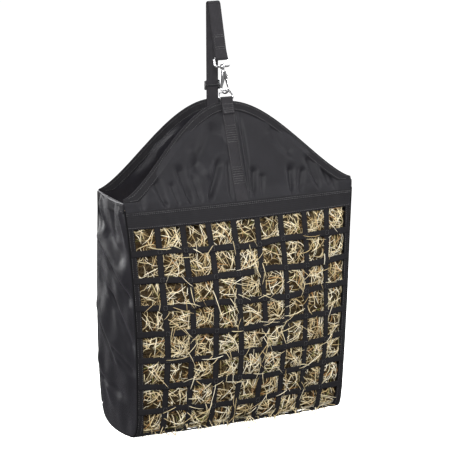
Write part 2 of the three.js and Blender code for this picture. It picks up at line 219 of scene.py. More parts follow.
class Build:
    """Gathers faces for one piece. Points are in the bag's millimetres."""

    def __init__(self):
        self.points, self.faces, self.spans, self.tints, self.count = [], [], [], [], 0

    def add(self, points, faces, span=None, tint=0.5):
        points = np.asarray(points, float).reshape(-1, 3)
        span = np.zeros((len(points), 2)) if span is None else np.asarray(span, float).reshape(-1, 2)
        self.points.append(points)
        self.spans.append(span)
        self.tints.append(np.broadcast_to(np.asarray(tint, float), (len(points),)))
        self.faces.append(np.asarray(faces) + self.count)
        self.count += len(points)
        return self

    def piece(self, name, finish, body=None, slot="nylon", flip=False):
        points = to_row(np.concatenate(self.points)).astype(np.float32)
        faces = np.concatenate(self.faces).astype(np.int32)
        if flip:
            faces = faces[:, ::-1]
        mesh = bpy.data.meshes.new(name)
        mesh.vertices.add(len(points))
        mesh.vertices.foreach_set("co", points.ravel())
        mesh.loops.add(faces.size)
        mesh.loops.foreach_set("vertex_index", faces.ravel())
        mesh.polygons.add(len(faces))
        mesh.polygons.foreach_set("loop_start", np.arange(0, faces.size, 4, dtype=np.int32))
        mesh.polygons.foreach_set("use_smooth", np.ones(len(faces), bool))
        mesh.update(calc_edges=True)
        span = np.concatenate(self.spans).astype(np.float32)[faces.ravel()]
        mesh.uv_layers.new(name="span").data.foreach_set("uv", span.ravel())
        tint = mesh.attributes.new("tint", "FLOAT", "POINT")
        tint.data.foreach_set("value", np.concatenate(self.tints).astype(np.float32))
        mesh.validate()
        obj = bpy.data.objects.new(name, mesh)
        bpy.context.scene.collection.objects.link(obj)
        mesh.materials.append(finish)
        if body:
            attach(obj, body)
        return obj


def slab(outer, inner, span):
    """A closed sheet between two grids of points; its rim is drawn in a little so that it looks rolled."""
    outer, inner = outer.copy(), inner.copy()
    middle = (outer + inner) / 2
    rim = np.zeros(outer.shape[:2], bool)
    rim[0, :] = rim[-1, :] = rim[:, 0] = rim[:, -1] = True
    for side in (outer, inner):
        side[rim] = lerp(middle, side, 0.35)[rim]
    rows, cols = outer.shape[:2]
    top = quads(rows, cols)
    size = rows * cols
    ids = np.arange(size).reshape(rows, cols)
    loop = np.concatenate([ids[0, :-1], ids[:-1, -1], ids[-1, :0:-1], ids[:0:-1, 0]])
    after = np.roll(loop, -1)
    edge = np.stack([loop + size, after + size, after, loop], -1)
    faces = np.concatenate([top, top[:, ::-1] + size, edge])
    return Build().add(np.concatenate([outer.reshape(-1, 3), inner.reshape(-1, 3)]), faces,
                       np.concatenate([span.reshape(-1, 2)] * 2))


def grid(a, b):
    return np.meshgrid(a, b, indexing="ij")


def tube(build, path, radius, up, sides, flat=1.0, closed=False):
    """A swept wire. radius may vary along it, and flat squeezes it along the direction up."""
    path = np.asarray(path, float)
    n = len(path)
    radius = np.broadcast_to(np.asarray(radius, float), (n,))
    along = (np.roll(path, -1, 0) - np.roll(path, 1, 0)) if closed else np.gradient(path, axis=0)
    along = unit(along)
    side = unit(np.cross(along, np.broadcast_to(np.asarray(up, float), path.shape)))
    lift = np.cross(side, along)
    flat = np.broadcast_to(np.asarray(flat, float), (n,))
    turn = np.linspace(0, 2 * np.pi, sides, endpoint=False)
    ring = (np.cos(turn)[None, :, None] * side[:, None]
            + np.sin(turn)[None, :, None] * lift[:, None] * flat[:, None, None])
    points = path[:, None] + ring * radius[:, None, None]
    span = np.stack(grid(distances(path) / 1000, turn / (2 * np.pi)), -1)
    build.add(points, quads(n, sides, closed, True), span)
    if not closed:
        cap_ends(build, points, path)
    return build


def cap_ends(build, rings, centres):
    """Closes both ends of a row of rings, each with two smaller rings about its centre."""
    for end in (0, len(rings) - 1):
        faces = quads(3, rings.shape[1], False, True)
        if end == 0:
            faces = faces[:, ::-1]
        build.add(np.stack([lerp(centres[end], rings[end], f) for f in (1, 0.5, 0.04)]), faces)


def lathe(build, place, profile, sides):
    """A turned shape round the frame's z axis: profile is (radius, z)."""
    turn = np.linspace(0, 2 * np.pi, sides, endpoint=False)
    r, z = np.array(profile, float).T
    x, y = r[:, None] * np.cos(turn), r[:, None] * np.sin(turn)
    points = place(x, y, z[:, None] + 0 * x)
    return build.add(points, quads(len(r), sides, False, True)[:, ::-1])


def waves(x, y, size, seed, count=7):
    """Soft random ripples of about the given size, from -1 to 1."""
    rng = np.random.default_rng(seed)
    total = np.zeros(np.broadcast(x, y).shape)
    for _ in range(count):
        turn, phase, scale = rng.uniform(0, np.pi), rng.uniform(0, 2 * np.pi), rng.uniform(0.6, 1.6)
        total += np.sin((x * math.cos(turn) + y * math.sin(turn)) * 2 * np.pi / (size * scale) + phase)
    return total / math.sqrt(count) * 0.8


def crease(x, y, start, end, width, depth):
    """A fold along a line, deepest in its middle, fading at its ends, and steeper on its left side."""
    start, end = np.array(start, float), np.array(end, float)
    way = end - start
    length = np.linalg.norm(way)
    f = ((x - start[0]) * way[0] + (y - start[1]) * way[1]) / length**2
    away = ((x - start[0]) * way[1] - (y - start[1]) * way[0]) / length
    fade = np.exp(-(np.clip(np.abs(f - 0.5) - 0.32, 0, None) / 0.16) ** 2)
    reach = width * (0.6 + 0.8 * np.clip(f, 0, 1)) * np.where(away > 0, 1.3, 0.85)
    return depth * fade * np.exp(-((away / reach) ** 2))


# ---- finishes ----


def node(tree, kind, inputs=None, **props):
    made = tree.nodes.new("ShaderNode" + kind)
    for key, value in props.items():
        setattr(made, key, value)
    for key, value in (inputs or {}).items():
        if isinstance(value, bpy.types.NodeSocket):
            tree.links.new(value, made.inputs[key])
        else:
            made.inputs[key].default_value = value
    return made


def maths(tree, operation, a, b):
    return node(tree, "Math", {0: a, 1: b}, operation=operation).outputs[0]


def finish_of(name, **sockets):
    """A new material with its shader's uniform sockets set, and its node tree."""
    made = bpy.data.materials.new(name)
    made.use_nodes = True
    tree = made.node_tree
    shader = tree.nodes["Principled BSDF"]
    for key, value in sockets.items():
        shader.inputs[key.replace("_", " ")].default_value = value
    return made, tree


def coated(made, *sockets):
    """The material, its shader linked to a colour and, if given, a roughness and a normal."""
    shader = made.node_tree.nodes["Principled BSDF"]
    for key, socket in zip(("Base Color", "Roughness", "Normal"), sockets):
        made.node_tree.links.new(socket, shader.inputs[key])
    return made


def span_of(tree):
    return node(tree, "UVMap", uv_map="span").outputs[0]


def summed(tree, *terms):
    """Weighted terms, as (factor, weight) pairs, added up."""
    parts = [maths(tree, "MULTIPLY", factor, weight) for factor, weight in terms]
    total = parts[0]
    for part in parts[1:]:
        total = maths(tree, "ADD", total, part)
    return total


def noise(tree, at, scale, detail=3.0, rough=0.5, stretch=None):
    if stretch:
        at = node(tree, "Mapping", {"Vector": at, "Scale": stretch}).outputs[0]
    inputs = {"Vector": at, "Scale": scale, "Detail": detail, "Roughness": rough}
    return node(tree, "TexNoise", inputs).outputs["Fac"]


def bands(tree, at, pitch, direction):
    """Soft ridges across one span direction, pitch in metres, from 0 to 1."""
    inputs = {"Vector": at, "Scale": 0.314159 / pitch}
    return node(tree, "TexWave", inputs, bands_direction=direction).outputs["Fac"]


def ramp(tree, factor, stops):
    made = node(tree, "ValToRGB", {"Fac": factor})
    elements = made.color_ramp.elements
    while len(elements) < len(stops):
        elements.new(0.5)
    for element, (place, colour) in zip(elements, stops):
        element.position = place
        element.color = (*colour, 1)
    return made.outputs["Color"]


def remap(tree, factor, low, high):
    return node(tree, "MapRange", {"Value": factor, "To Min": low, "To Max": high}).outputs[0]


def bump(tree, height, distance, strength=1.0, normal=None):
    inputs = {"Height": height, "Distance": distance, "Strength": strength}
    if normal:
        inputs["Normal"] = normal
    return node(tree, "Bump", inputs).outputs[0]


def cloth_finish(name, dark, light, rough, gloss):
    """Woven nylon: a plain weave, soft crumples, and uneven sheen."""
    made, tree = finish_of(name, Sheen_Weight=0.06, Sheen_Roughness=0.4,
                           Sheen_Tint=(0.83, 0.8, 0.92, 1), Specular_IOR_Level=gloss)
    at, pitch = span_of(tree), 0.0006
    weave = maths(tree, "MULTIPLY", bands(tree, at, pitch, "X"), bands(tree, at, pitch, "Y"))
    fine = noise(tree, at, 90, 5, 0.6)
    mix = summed(tree, (noise(tree, at, 16, 4), 0.6), (fine, 0.25), (weave, 0.25))
    crumpled = bump(tree, noise(tree, at, 28, 4, 0.55), 0.0005, 0.7)
    return coated(made, ramp(tree, mix, [(0.25, dark), (0.85, light)]),
                  remap(tree, fine, rough - 0.08, rough + 0.12), bump(tree, weave, 0.00012, 0.6, crumpled))


def web_finish(name, dark, light, along=0.0016, across=0.0022, gloss=0.12, sheen=0.05):
    """Ribbed webbing: fine cross ribs in a few cords, fuzzy and a little worn."""
    made, tree = finish_of(name, Sheen_Weight=sheen, Sheen_Roughness=0.5,
                           Sheen_Tint=(0.85, 0.83, 0.9, 1), Specular_IOR_Level=gloss)
    at = span_of(tree)
    weave = summed(tree, (bands(tree, at, along, "X"), 0.6), (bands(tree, at, across, "Y"), 0.4))
    worn = noise(tree, at, 60, 5, 0.65)
    mix = summed(tree, (weave, 0.55), (worn, 0.5))
    return coated(made, ramp(tree, mix, [(0.2, dark), (0.9, light)]),
                  remap(tree, worn, 0.62, 0.84), bump(tree, weave, 0.00035, 0.8))


def metal_finish(name):
    """Bright nickel plate, with faint polishing marks and dull spots."""
    made, tree = finish_of(name, Metallic=1.0)
    at = node(tree, "TexCoord").outputs["Object"]
    spots = noise(tree, at, 260, 4, 0.6)
    marks = noise(tree, at, 900, 2, 0.5, (1, 1, 0.15))
    return coated(made, ramp(tree, spots, [(0.3, (0.42, 0.42, 0.43)), (0.7, (0.6, 0.6, 0.615))]),
                  remap(tree, spots, 0.05, 0.13), bump(tree, marks, 0.00005, 0.35))


def plastic_finish(name):
    """Black moulded plastic with a fine grain."""
    made, tree = finish_of(name, Specular_IOR_Level=0.5)
    at = node(tree, "TexCoord").outputs["Object"]
    grain, spots = noise(tree, at, 1500, 2), noise(tree, at, 120, 4)
    return coated(made, ramp(tree, spots, [(0.3, (0.008, 0.008, 0.009)), (0.75, (0.022, 0.022, 0.024))]),
                  remap(tree, spots, 0.3, 0.5), bump(tree, grain, 0.00006, 0.5))


def thread_finish(name, dark, light):
    """Twisted thread."""
    made, tree = finish_of(name, Sheen_Weight=0.3, Specular_IOR_Level=0.5)
    twist = noise(tree, span_of(tree), 700, 2)
    return coated(made, ramp(tree, twist, [(0.3, dark), (0.7, light)]),
                  remap(tree, twist, 0.35, 0.6), bump(tree, twist, 0.0001, 0.5))


# straw colours along the tint: the near-black stops at the low end are painted shade for stems deep in the
# hay, the rest are the stems' own cream, gold, russet and green
STRAW_TONES_AND_SHADE = [
    (0.0, (0.018, 0.011, 0.004)), (0.18, (0.06, 0.038, 0.014)), (0.34, (0.22, 0.145, 0.055)),
    (0.52, (0.52, 0.385, 0.18)), (0.72, (0.82, 0.7, 0.44)), (0.88, (0.96, 0.9, 0.73)),
    (0.95, (0.5, 0.25, 0.08)), (1.0, (0.2, 0.21, 0.06)),
]


def straw_finish(name):
    """Dry stems: the tint of each stem, which also carries painted shade for stems lying deep, with long fine
    grooves.
    """
    made, tree = finish_of(name, Specular_IOR_Level=0.35)
    tint = node(tree, "Attribute", attribute_name="tint").outputs["Fac"]
    grooves = noise(tree, span_of(tree), 30, 3, 0.6, (1.5, 1, 1))
    uneven = maths(tree, "MULTIPLY", maths(tree, "SUBTRACT", grooves, 0.5), 0.1)
    return coated(made, ramp(tree, maths(tree, "ADD", tint, uneven), STRAW_TONES_AND_SHADE),
                  remap(tree, grooves, 0.5, 0.8), bump(tree, grooves, 0.0003, 0.6))


def core_finish(name):
    """The hay behind the stems that are modelled, coloured near black as painted shade for its depth."""
    made, tree = finish_of(name, Specular_IOR_Level=0.1)
    at = node(tree, "TexCoord").outputs["Object"]
    strands = noise(tree, at, 130, 6, 0.7)
    return coated(made, ramp(tree, strands, [(0.35, (0.012, 0.008, 0.004)), (0.7, (0.075, 0.047, 0.018))]),
                  remap(tree, strands, 0.8, 1.0), bump(tree, strands, 0.004, 1.0))


NYLON = cloth_finish("nylon_charcoal", (0.0085, 0.0081, 0.0098), (0.02, 0.0192, 0.023), 0.46, 0.17)
SATIN = cloth_finish("nylon_satin", (0.0075, 0.007, 0.009), (0.0175, 0.0166, 0.0208), 0.33, 0.28)
WEBBING = web_finish("webbing_charcoal", (0.006, 0.0057, 0.0064), (0.02, 0.019, 0.021),
                     gloss=0.08, sheen=0.03)
SEAM = web_finish("webbing_seam", (0.003, 0.0029, 0.0032), (0.01, 0.0096, 0.0105), 0.0012, 0.0035,
                  gloss=0.05, sheen=0.02)
STRAPPING = web_finish("webbing_strap", (0.012, 0.0115, 0.0127), (0.038, 0.036, 0.04), 0.0021, 0.003)
BINDING = web_finish("webbing_binding", (0.007, 0.0067, 0.0077), (0.021, 0.02, 0.0225), 0.0012, 0.0035)
THREAD = thread_finish("thread", (0.012, 0.0116, 0.0128), (0.034, 0.0325, 0.036))
PIPING = thread_finish("piping_light", (0.1, 0.1, 0.11), (0.2, 0.2, 0.215))
CHROME = metal_finish("chrome_plate")
PLASTIC = plastic_finish("moulded_plastic")
STEMS = straw_finish("hay_straw")
CORE = core_finish("hay_shade")

# ---- camera, light and floor ----

AIM = point(-12, 0, 386)
LIGHTS_AIM = (0, 0, -0.42)
AZIMUTH, ELEVATION, DISTANCE = math.radians(-25.3), math.radians(14.0), 4.0


def aimed(obj, place, target):
    obj.location = place
    obj.rotation_euler = (Vector(target) - Vector(place)).to_track_quat("-Z", "Y").to_euler()
    bpy.context.scene.collection.objects.link(obj)


def add_camera():
    lens = bpy.data.cameras.new("camera")
    lens.lens, lens.sensor_width = 166.4, 36
    lens.clip_end = 60
    camera = bpy.data.objects.new("camera", lens)
    flat = math.cos(ELEVATION)
    way = (math.sin(AZIMUTH) * flat, -math.cos(AZIMUTH) * flat, math.sin(ELEVATION))
    aimed(camera, [a + DISTANCE * w for a, w in zip(AIM, way)], AIM)
    bpy.context.scene.camera = camera


def add_light(name, place, size, power):
    lamp = bpy.data.lights.new(name, "AREA")
    lamp.shape, lamp.size, lamp.size_y, lamp.energy = "RECTANGLE", *size, power
    aimed(bpy.data.objects.new(name, lamp), place, LIGHTS_AIM)


def add_world():
    """A white backdrop for the camera, that lights the bag softly, more from the front than the back."""
    world = bpy.data.worlds.new("studio")
    bpy.context.scene.world = world
    world.use_nodes = True
    tree = world.node_tree
    backdrop = tree.nodes["Background"].inputs
    backdrop["Color"].default_value = (1, 1, 1, 1)
    seen = node(tree, "LightPath").outputs["Is Camera Ray"]
    way = node(tree, "SeparateXYZ", {0: node(tree, "TexCoord").outputs["Generated"]}).outputs["Y"]
    graded = {"Value": way, "From Min": -1.0, "From Max": 1.0, "To Min": 0.44, "To Max": 0.12}
    soft = node(tree, "MapRange", graded).outputs[0]
    tree.links.new(remap(tree, seen, soft, 1.0), backdrop["Strength"])


def add_floor():
    mesh = bpy.data.meshes.new("floor")
    half, floor_z = 40, -1.5
    corners = [(x * half, y * half, floor_z) for x, y in ((-1, -1), (1, -1), (1, 1), (-1, 1))]
    mesh.from_pydata(corners, [], [(0, 1, 2, 3)])
    floor = bpy.data.objects.new("floor", mesh)
    bpy.context.scene.collection.objects.link(floor)
    made, tree = finish_of("floor_pale", Roughness=0.9, Emission_Color=(1, 1, 1, 1), Emission_Strength=0.8)
    at = node(tree, "TexCoord").outputs["Object"]
    pale = ramp(tree, noise(tree, at, 3), [(0.3, (0.88, 0.88, 0.88)), (0.7, (0.9, 0.9, 0.9))])
    mesh.materials.append(coated(made, pale))
    floor.visible_diffuse = floor.visible_glossy = False


def add_room():
    bpy.context.scene.view_settings.view_transform = "Standard"
    add_world()
    add_light("key", (-1.5, -2.9, 1.2), (0.8, 0.8), 134)
    add_light("right_front", (2.3, -2.5, 1.1), (1.5, 1.5), 30)
    add_light("left_sheen", (-1.7, 2.3, 0.1), (1.0, 1.6), 50)
    add_light("side_left", (-2.9, -0.9, 0.9), (0.6, 1.8), 20)
    add_light("side_right", (2.7, -0.9, 0.5), (0.8, 2.2), 36)
    add_light("top", (-0.2, 0.2, 2.3), (1.6, 1.2), 30)
    add_light("behind", (1.5, 2.7, 0.7), (1.4, 1.6), 100)
    add_floor()


add_camera()
add_room()

# ---- the bag's cloth ----


# the pitch, length and width of the stitches, and how high they stand where it is given
BOX_SEWING, ROW_SEWING, EDGE_SEWING = (3.4, 2.5, 0.8), (3.0, 2.5, 0.8), (3.6, 2.7, 0.8)
CROSSING_SEWING, HEAVY_SEWING = (2.4, 1.8, 0.6, 0.2), (3.0, 2.5, 0.9, 0.35)


def stitches(build, path, out, pitch=4.2, length=2.9, width=0.8, lift=0.25):
    """A row of thread stitches along a path; out is the direction off the cloth."""
    path = np.asarray(path, float)
    out = np.broadcast_to(np.asarray(out, float), path.shape)
    gone = distances(path)
    count = int(gone[-1] / pitch)
    if count < 1:
        return build
    middle = (np.arange(count) + 0.5) * gone[-1] / count

    def on(distance, table):
        return np.stack([np.interp(distance, gone, column) for column in table.T], -1)

    a, b = on(middle - length / 2, path), on(middle + length / 2, path)
    up = unit(on(middle, out))
    side = np.cross(unit(b - a), up)
    rings = []
    for share, wide, high in ((0, 0.5, -0.3), (0.2, 1, 0.6), (0.5, 1.1, 1), (0.8, 1, 0.6), (1, 0.5, -0.3)):
        centre = lerp(a, b, share) + up * lift * high
        w, h = width / 2 * wide, width / 3 * wide
        rings.append(np.stack([centre + side * w, centre + up * h, centre - side * w, centre - up * h], 1))
    points = np.stack(rings, 1)
    faces = np.concatenate([quads(5, 4, False, True), [[3, 2, 1, 0], [16, 17, 18, 19]]])
    size = 20
    every = (np.arange(count) * size)[:, None, None] + faces[None]
    span = np.tile(np.linspace(0, 0.02, size)[:, None] * [1, 1], (count, 1))
    return build.add(points, every.reshape(-1, 4), span)


class Seams:
    """Thread on each body."""

    builds = {}

    @classmethod
    def on(cls, body):
        return cls.builds.setdefault(body, Build())


def ribbon(place, us, ts, thick, sag=None):
    """Webbing laid on a surface: place(u, t, offset), with thick = (inner, outer) offsets, domed across."""
    u, t = grid(us, ts)
    dome = 0.25 * (1 - (2 * (u - us[0]) / (us[-1] - us[0]) - 1) ** 4)
    lift = 0 if sag is None else sag(u, t)
    outer = place(u, t, thick[1] + dome * 0.6 + lift)
    along = distances(outer[len(us) // 2]) / 1000
    across = distances(outer[:, len(ts) // 2]) / 1000
    span = np.stack(grid(across, along), -1)
    if along[-1] >= across[-1]:
        span = span[..., ::-1]
    return slab(outer, place(u, t, thick[0] + lift), span)


def rimmed(first, low, high, count, last):
    """Even steps from low to high, with a narrow strip before and after them."""
    return np.concatenate([[first], np.linspace(low, high, count), [last]])


def columns(width, step):
    """Positions across a strap from edge to edge, as u, with narrow edge strips."""
    return spread(max(6, int(width / step)), 0.06) - 0.5


def upright_x(i, t):
    """Where an upright strap runs; it wanders a little, as sewn straps do."""
    return (i - COLUMNS / 2) * CELL + 2.7 * np.sin(t / 47.0 + 1.7 * i) * np.sin(np.pi * t / NET_END)


def cross_t(i, u):
    """Where a cross strap runs, wandering a little between its sewn ends."""
    wander = 2.3 * np.sin(5.5 * u + 2.1 * i) + 1.2 * np.sin(13 * u + i)
    return BAND_END + i * CELL - GRID_WEB / 2 + wander * (1 - u**4)


def strap_dips(u, t):
    """Cross straps dip a little between the uprights they lie on, and swell where hay pushes."""
    from_upright = np.abs(((u * TOP_WIDTH / 2) / CELL) % 1 - 0.5) * 2
    return -0.9 * smooth(from_upright, 0.25, 0.9) + 0.5 * waves(u * 240, t, 90, 5)


def add_net():
    bag = Seams.on("bag")
    tall = np.linspace(BAND_END - 6, NET_END + 2, 150)
    share = 2 * GRID_WEB / TOP_WIDTH
    for i in range(1, COLUMNS):

        def wander(u, t, offset, i=i):
            return skin(u + upright_x(i, t) * 2 / TOP_WIDTH, t, offset)

        web = ribbon(wander, columns(GRID_WEB, 2) * share, tall, (0.1, WEB))
        made = web.piece(f"web_upright_{i}", WEBBING, "bag", "webbing")
        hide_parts(f"net_upright_{i}")
    wide = np.linspace(-0.998, 0.998, 190)
    for i in range(1, CROSS_STRAPS + 1):

        def wander(u, v, offset, i=i):
            return skin(v, u + cross_t(i, v), offset)

        def dips(u, v, i=i):
            return strap_dips(v, cross_t(i, v))

        web = ribbon(wander, columns(GRID_WEB, 2) * GRID_WEB, wide, (2.1, 3.4), dips)
        made = web.piece(f"web_cross_{i}", WEBBING, "bag", "webbing")
        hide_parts(f"net_cross_{i}")
        for column in range(1, COLUMNS):
            x = upright_x(column, BAND_END + i * CELL)
            sew_crossing(bag, x, cross_t(i, x * 2 / TOP_WIDTH))
    for side, word in ((-1, "left"), (1, "right")):
        edge = side * (1 - share / 2)

        def band(u, t, offset, edge=edge):
            wide = 1 + 1.1 * smooth(t, 400, 500)
            return skin(np.clip(edge + u * wide, -1, 1), t, offset)

        web = ribbon(band, columns(GRID_WEB, 2) * share * 1.02, tall, (0.1, WEB))
        made = web.piece(f"web_{word}_band", WEBBING, "bag", "webbing")
        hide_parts(f"net_{word}_band")
        for inset in (2.2, 9.8):
            line = skin(side * (1 - inset * 2 / TOP_WIDTH), tall, WEB + 0.15)
            stitches(bag, line, [0, -1, 0.1])
    add_top_band(bag)
    add_bottom_band()


def sew_crossing(build, x, t):
    """A small stitched square where two straps cross."""
    half = 3.6
    corners = [(-half, -half), (half, -half), (half, half), (-half, half), (-half, -half)]
    for (x0, t0), (x1, t1) in zip(corners, corners[1:]):
        f = np.linspace(0, 1, 5)
        u = (x + lerp(x0, x1, f)) * 2 / TOP_WIDTH
        stitches(build, skin(u, t + lerp(t0, t1, f), 3.75), [0, -1, 0.15], *CROSSING_SEWING)


def pucker(u, t):
    """Gathers in the band where the yoke's fullness is taken up."""
    x = u * TOP_WIDTH / 2
    deep = 0.5 + 0.5 * waves(x, 0 * t, 120, 31)
    gathers = 1.5 * waves(x, t * 0.12, 15, 32) * deep * smooth(t, BAND_END + 2, BAND_END - 14)
    return lerp(gathers, 1.7 * (1 - smooth(t, YOKE_END + 4, YOKE_END + 24)), np.exp(-((x / 14.5) ** 6)))


def add_top_band(bag):
    us = np.linspace(-1, 1, 260)
    u, t = grid(us, rimmed(YOKE_END - 2, YOKE_END - 1, BAND_END - 1, 14, BAND_END + 0.5))
    ripple = pucker(u, t) * np.clip(1 - np.abs(u) ** 8, 0, 1)
    outer, inner = skin(u, t, WEB + 0.7 + ripple), skin(u, t, 0.2 + ripple)
    span = np.stack([(t - YOKE_END) / 1000, u * TOP_WIDTH / 2000], -1)
    made = slab(outer, inner, span[..., ::-1]).piece("web_top_band", BINDING, "bag", "webbing")
    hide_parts("net_top_band")
    for t in (YOKE_END + 2.2, YOKE_END + 5.0, BAND_END - 3.0):
        line = skin(us, t, WEB + 1.0 + pucker(us, t + 0 * us))
        stitches(bag, line, [0, -1, 0.2])


def add_bottom_band():
    ts = rimmed(NET_END - 9, NET_END - 8, HEM_END - 1, 14, HEM_END + 1)
    u, t = grid(np.linspace(-1, 1, 240), ts)
    middle = np.sin(np.pi * np.clip((t - ts[0]) / (ts[-1] - ts[0]), 0, 1))
    ripple = 1.6 * waves(u * 240, t * 0.3, 46, 44) * middle
    shift = 4 * waves(u * 240, 0 * t, 110, 45) * (1 - np.abs(u) ** 6) * smooth(t, HEM_END, NET_END - 8)
    outer, inner = skin(u, t + shift, WEB + 0.6 + ripple), skin(u, t + shift, 0.1 + ripple)
    span = np.stack([u * TOP_WIDTH / 2000, (t - NET_END) / 1000], -1)
    made = slab(outer, inner, span).piece("web_bottom_band", BINDING, "bag", "webbing")
    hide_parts("net_bottom_band")


def add_gusset(side, word):
    """The side panel: satin pushed out by the hay, with folds slanting down from the back."""
    a, d = grid(spread(70, 0.012), spread(110, 0.008))
    flat = within(side, a, d, 0.6)
    x, y, z = np.moveaxis(flat, -1, 0)
    belly = 7.5 * (np.sin(np.pi * a) ** 0.6) * np.sin(np.pi * np.clip(d * 0.96 + 0.02, 0, 1)) ** 0.7
    edge = np.clip(np.minimum.reduce([a, 1 - a, (1 - d) * 2.2, d * 5]) / 0.14, 0, 1) ** 0.7
    shift = 7 if side > 0 else 0
    folds = 1.4 * sum(crease(y + shift, z - 2 * shift, *line) for line in GUSSET_FOLDS)
    folds = folds + 1.1 * waves(y, z * 0.4, 48, 71 + side)
    drape = belly + folds * edge
    out = side * (drape + 0.6)
    cloth = slab(stacked(x + out, y, z), stacked(x + out - side * 1.2, y, z), stacked(y, z) / 1000)
    made = cloth.piece(f"{word}_gusset_cloth", SATIN, "bag", "nylon", flip=side < 0)
    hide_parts(f"{word}_gusset")
    add_hem(side, word)


GUSSET_FOLDS = [
    ((84, 425), (-30, 338), 13, -5.2), ((88, 392), (-50, 286), 15, 4.6), ((40, 350), (-52, 262), 8, -5.0),
    ((86, 322), (10, 236), 10, -2.6), ((30, 280), (-52, 168), 9, -4.8), ((88, 262), (-14, 128), 17, 5.0),
    ((70, 214), (6, 136), 7, -3.2), ((20, 170), (-50, 124), 8, -3.8), ((86, 150), (20, 36), 12, 3.0),
    ((78, 96), (-20, 70), 9, -2.8), ((66, 456), (44, 384), 7, 3.6), ((22, 456), (-4, 380), 8, -3.8),
    ((-22, 450), (-48, 370), 7, 3.2),
]


def add_hem(side, word):
    """The turned top edge of a gusset, with its light cord."""
    ys = np.linspace(-42, BACK_Y - CLOTH - 0.5, 60)
    profile = [(0.4, -20), (1.7, -19.4), (1.9, -12), (1.9, -3), (1.6, -0.6),
               (0.6, 0.2), (-0.6, -0.6), (-0.9, -4), (-0.8, -16), (-0.2, -20)]
    dip = -4.5 * np.sin(np.pi * (ys - ys[0]) / (ys[-1] - ys[0]))
    px, pz = np.array(profile).T
    x = side * (TOP_WIDTH / 2 + px[None, :] - 0.2 + 0.5 * waves(ys[:, None], 0, 30, 81))
    z = CORNER_Z + pz[None, :] + dip[:, None]
    points = stacked(x, ys[:, None], z)
    build = Build()
    span = np.stack(grid(ys / 1000, np.linspace(0, 0.04, len(profile))), -1)
    build.add(points, quads(len(ys), len(profile), False, True), span)
    cap_ends(build, points, points.mean(1))
    made = build.piece(f"{word}_hem", BINDING, "bag", "webbing", flip=side > 0)
    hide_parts(f"{word}_gusset_hem")
    cord = stacked(side * (TOP_WIDTH / 2 + 0.9), ys, CORNER_Z + 0.2 + dip)
    light = tube(Build(), cord, 0.9, [0, 0, 1], 8)
    light.piece(f"{word}_hem_cord", PIPING, "bag", "webbing")
    for drop in (3.2, 15):
        line = stacked(side * (TOP_WIDTH / 2 + 1.95), ys, CORNER_Z - drop + dip)
        stitches(Seams.on("bag"), line, [side, 0, 0])


def add_edges(side, word):
    """Bound seams down the gusset's front and back edges and round the base."""
    t = np.linspace(14, SECTION_LENGTH - 4, 170)
    line = skin(side * 0.9985, t, 0.7)
    out = skin(side * 0.9985, t, 2.0) - skin(side * 0.9985, t, 0.0)
    build = tube(Build(), line, 1.9, out, 10)
    z = np.linspace(BACK_FOOT + 1, CORNER_Z - 2, 70)
    back = stacked(side * (half_width(z, BACK_Y) - 0.2), BACK_Y - 1.6, z)
    tube(build, back, 2.0, [0, 1, 0], 10)
    build.piece(f"{word}_seam_roll", SEAM, "bag", "nylon")
    z = np.linspace(50, 440, 90)
    wide = np.linspace(-6, 6, 9)
    zz, ww = grid(z, wide)
    x = side * (half_width(zz, BACK_Y - 12) - CLOTH - 6.4 + ww)
    y = BACK_Y - CLOTH - 1.0
    face = y - 0.7 - 0.3 * (1 - (ww / 6) ** 4)
    tape = slab(stacked(x, face, zz), stacked(x, y, zz), stacked(zz, ww) / 1000)
    made = tape.piece(f"{word}_seam_tape", BINDING, "bag", "webbing", flip=side > 0)
    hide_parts(f"{word}_back_seam")


def back_face(x, z):
    """The back panel's middle surface: swelled a little by the hay, with soft creases."""
    s = np.abs(x) / half_width(z, BACK_Y)
    r = (z - BACK_FOOT) / (bell(x, BACK_RISE, CORNER_Z) - BACK_FOOT)
    edge = smooth(np.minimum.reduce([1 - s, r * 1.2, (1 - r) * 1.6]), 0.0, 0.1)
    belly = 4.2 * (1 - s**2) ** 0.8 * np.sin(np.pi * np.clip(z / 480, 0, 1)) ** 0.8
    dent = sum(crease(x, z, *line) for line in BACK_FOLDS)
    dent = dent + 1.5 * waves(x, z * 0.5, 120, 91) + 0.7 * waves(x, z, 45, 92)
    free = np.clip((z - CORNER_Z + 30) / 60, 0, 1) * 1.5 * waves(x, z, 150, 93)
    return BACK_Y - 1.2 + np.clip(belly + dent + free, -4.5, 5.5) * edge


def add_back():
    """The back panel, with its bell-shaped top, and its rows and box of stitches."""
    s, r = grid(spread(170, 0.004) * 2 - 1, spread(190, 0.004))
    z = lerp(BACK_FOOT + 0.5, bell(s * TOP_WIDTH / 2, BACK_RISE, CORNER_Z), r)
    x = s * half_width(z, BACK_Y)
    y = back_face(x, z)
    cloth = slab(stacked(x, y + 0.7, z), stacked(x, y - 0.7, z), stacked(x, z) / 1000)
    made = cloth.piece("back_cloth", SATIN, "bag", "nylon", flip=True)
    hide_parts("back_panel")
    bag = Seams.on("bag")
    for side in (-1, 1):
        z = np.linspace(BACK_FOOT + 8, CORNER_Z - 4, 60)
        x = side * (half_width(z, BACK_Y) - 7)
        stitches(bag, stacked(x, back_face(x, z) + 0.8, z), [0, 1, 0])
    for z0 in (BACK_FOOT + 8, BACK_FOOT + 14):
        x = np.linspace(-215, 215, 120)
        stitches(bag, stacked(x, back_face(x, z0 + 0 * x) + 0.8, z0), [0, 1, 0])
    for x0, z0, x1, z1 in BOX_STITCH:
        f = np.linspace(0, 1, 8)
        x, z = lerp(x0, x1, f), lerp(z0, z1, f)
        stitches(bag, stacked(x, back_face(x, z) + 0.9, z), [0, 1, 0], *BOX_SEWING)


